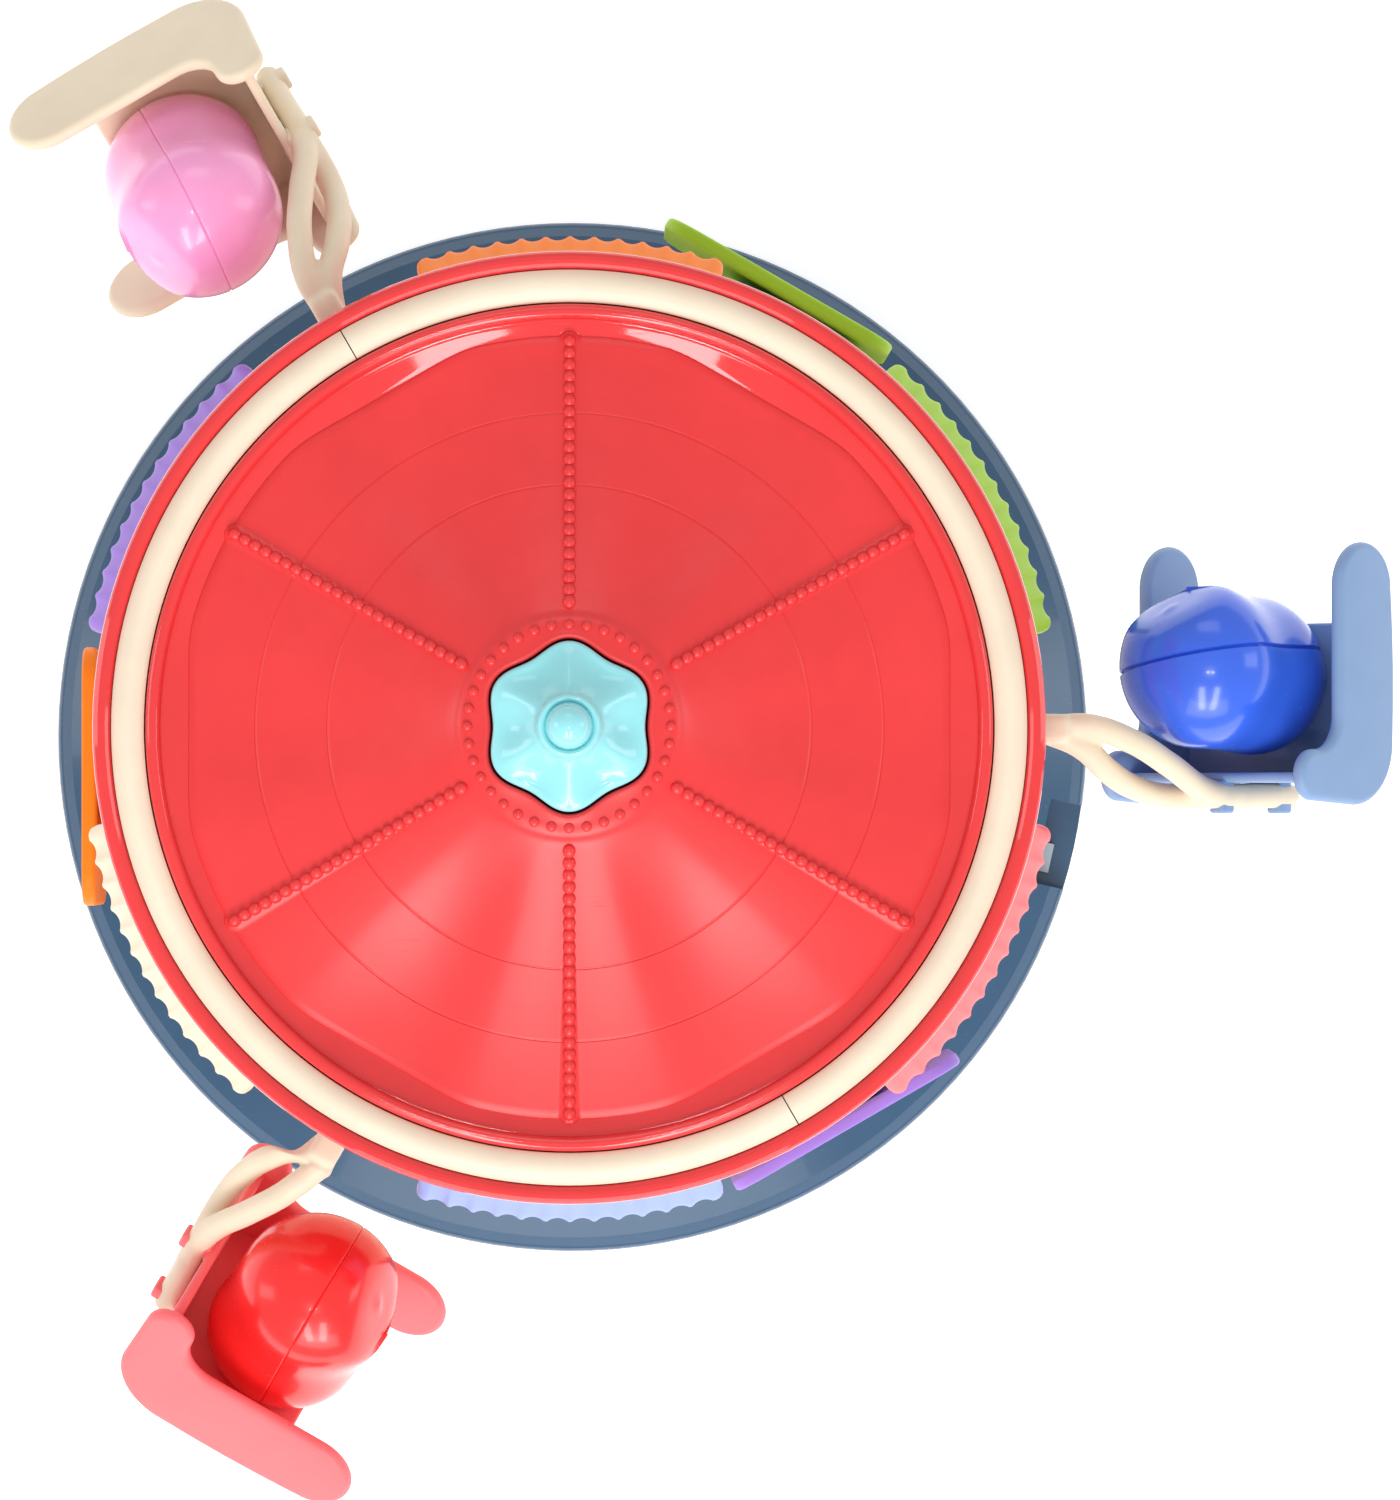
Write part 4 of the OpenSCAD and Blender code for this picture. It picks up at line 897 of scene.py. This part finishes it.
# %% One arm, fused and smoothed, and its copies
STEM_OUT, STEM_Z, BAR_Y = RIM + 9.4, SKIRT - 2.2, -14.25
top = on_chair(0, BAR_Y, 34)
upper = [
    (STEM_OUT - 7, 0.4, STEM_Z - 4.1), (STEM_OUT + 1, 0.5, STEM_Z - 4.1),
    (STEM_OUT + 10, -2.5, STEM_Z - 7.1), (STEM_OUT + 19, -7.7, STEM_Z - 15.1),
    (top[0], top[1] + 1.5, top[2]), on_chair(0, BAR_Y, 26),
    on_chair(0, BAR_Y, 14), on_chair(0, BAR_Y, 1),
]
lower = [
    (STEM_OUT - 8, -0.8, STEM_Z - 5.1), (STEM_OUT - 1, -3.6, STEM_Z - 5.5),
    (STEM_OUT + 5.5, -9.2, STEM_Z - 10.5), (STEM_OUT + 12, -12.8, STEM_Z - 19.1),
    (STEM_OUT + 19.5, -14.4, STEM_Z - 27), on_chair(0, BAR_Y - 0.2, 28),
    on_chair(0, BAR_Y, 20),
]
stem_in = RIM - 19
arm = join([
    block("stem", (stem_in, -3.2, STEM_Z - 8.0), (STEM_OUT - 3, 3.2, STEM_Z), 1.8),
    strand("upper", upper, (0.95, 1, 1, 1, 1, 1, 1, 1), 2.85),
    strand("lower", lower, (0.95, 1, 1, 0.98, 0.98, 0.98, 0.98), 2.85),
], "arm")
modify(arm, "REMESH", mode="VOXEL", voxel_size=0.5 * MM, use_smooth_shade=True)
modify(arm, "SMOOTH", factor=0.6, iterations=6)
for name, angle in SWINGS.items():
    node = f"arm_{name}"
    bent = copy_turned(arm, f"{node}_moulded", Matrix())
    for point in bent.data.vertices:
        share = smooth_step(STEM_OUT - 4, STEM_OUT + 6, point.co.x / MM)
        point.co.x -= SHORTER[name] * MM * share
    bent.data.transform(turn_z(angle))
    hand_over(bent, "canopy", "cream_plastic", node, angle=80)
bpy.data.objects.remove(arm)

# %% [markdown]
# ## The riders
# A rider is a flattened round head grown together with a round body, cut flat where it sits. The
# two halves of the moulding meet in a groove over the head, which gapes on the blue one, and a
# flat face with a faint nose is cut in front. Such a soft form is easiest to say as a field that
# is negative inside. The rings of the rider lie round the axis that crosses the groove, so the
# groove falls between two rings and stays crisp.

# %% The rider's shape, in its own frame in millimetres
HEAD_Z, SEAT_Z = 37.2, 5.45
FACE_BLEND, NECK_BLEND, SEAT_BLEND = 2.4, 8.0, 1.6


def ellipsoid(p, middle, radii):
    """About how far p is outside an ellipsoid."""
    k = math.sqrt(sum(((a - m) / r) ** 2 for a, m, r in zip(p, middle, radii)))
    return (k - 1) * min(radii)


def blend(a, b, width):
    """How much two surfaces flow into each other where they meet, over a width."""
    near = max(0.0, width - abs(a - b)) / width
    return near * near * width / 4


def rider_field(p):
    """Below nothing inside the rider: a head and a body that flow together, above a flat seat."""
    head = ellipsoid(p, (0, 0, HEAD_Z), (18.2, 18.2, 15.4))
    face = p[1] * 0.866 + (p[2] - HEAD_Z) * 0.5 - 14.3
    nose = 0.5 * math.exp(-(p[0] ** 2 + (p[1] - 12.4) ** 2 + (p[2] - HEAD_Z - 7.2) ** 2) / 2.6)
    head = max(head, face - nose) + blend(head, face, FACE_BLEND)
    lobe = ellipsoid(p, (0.3, -2.0, 19.0), (16.6, 17.6, 16.5))
    both = min(head, lobe) - blend(head, lobe, NECK_BLEND)
    seat = SEAT_Z - p[2]
    return max(both, seat) + blend(both, seat, SEAT_BLEND)


# %% [markdown]
# ### From the field to the skin
# Each point of a ring looks for the surface along its own ray, by halving the way between inside
# and outside. Near the groove the rings lie close together, and their points sink in.

# %% Riders
GROOVE_Y = 1.0
rows = [-1.15 - 19.35 * math.cos(math.pi * i / 62) for i in range(63)]
rows = [y for y in rows if abs(y - GROOVE_Y) > 1.0]
rows += [GROOVE_Y + d for d in (-0.8, -0.5, -0.34, -0.2, -0.1, 0, 0.1, 0.2, 0.34, 0.5, 0.8)]
rows.sort()
WHOLE = 128


def rider_maker(half_width, depth):
    """The function that places a rider's points, for a groove of a given width and depth."""

    def place(ring, step):
        y = rows[ring]
        middle = 26.0 + 11.0 * smooth_step(7, 14, y) - 7.0 * smooth_step(-12, -19, y)
        a = math.tau * step / WHOLE
        way = (math.cos(a), math.sin(a))
        low, high = 0.0, 36.0
        for _ in range(22):
            r = (low + high) / 2
            if rider_field((r * way[0], y, middle + r * way[1])) < 0:
                low = r
            else:
                high = r
        groove = max(0.0, 1 - abs(y - GROOVE_Y) / half_width) ** 0.5 * depth
        low = max(0.0, low - groove * smooth_step(6.5, 9, middle + low * way[1]))
        return (low * way[0], y, middle + low * way[1])

    return place


open_rider = rings("rider", len(rows), WHOLE, rider_maker(0.5, 0.85))
shut_rider = rings("rider", len(rows), WHOLE, rider_maker(0.21, 0.35))
in_chair = Matrix.Translation((0, 14 * MM, 0))
for name, yaw, model in (
    ("blue", 11.0, open_rider), ("pink", -4.5, shut_rider), ("red", -1.0, shut_rider)
):
    node = f"rider_{name}"
    seat = hang(SWINGS[name], 0.7 * SHORTER[name] - 1.2) @ in_chair @ turn_z(yaw)
    rider = copy_turned(model, f"{node}_moulded", seat)
    hand_over(rider, "canopy", f"{node}_gloss", node, angle=50)
for piece in (open_rider, shut_rider):
    bpy.data.objects.remove(piece)

# %% [markdown]
# ## The drawers' fronts
# The fronts of the drawers are plates with round corners and soft edges. They stand a little to
# one side of the middle of their walls, and two of them a little open.

# %% Fronts
front_low, front_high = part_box("drawer_front_purple")
shut_x = -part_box("drawer_front_orange")[1].x / MM
half_w, half_h, corner = 29.0, (front_high.z - front_low.z) / MM / 2, 8.0
outline = []
for k, (x, y) in enumerate(((1, 1), (-1, 1), (-1, -1), (1, -1))):
    outline += arc(x * (half_w - corner), y * (half_h - corner), corner, 90 * k, 90 * k + 90, 8)
for name, angle, opened in (("green", 60, 3.6), ("orange", 180, 1.6), ("purple", 300, 0.0)):
    node = f"drawer_front_{name}"
    front = plate(f"{node}_moulded", metres(outline), 3.0 * MM)
    round_edges(front, 0.9, 3)
    place = Matrix.Translation(Vector((shut_x + opened, 9.8, front_low.z / MM + half_h)) * MM)
    front.data.transform(turn_z(angle) @ place @ stand)
    hand_over(front, f"drawer_{name}", slots[node], node, angle=40)

# %% [markdown]
# ## The floor
# The toy stands on plain white card. A little light of its own keeps the card white out to the
# corners, and it is staging, so it stays behind when the toy is used elsewhere.

# %% Floor
bpy.ops.mesh.primitive_plane_add(size=6)
floor = begin("floor")
WHITE = (1.0, 1.0, 1.0, 1.0)
card = Finish("floor").set(
    Base_Color=WHITE, Roughness=0.9, Emission_Color=WHITE, Emission_Strength=0.5
)
floor.data.materials.append(card.material)
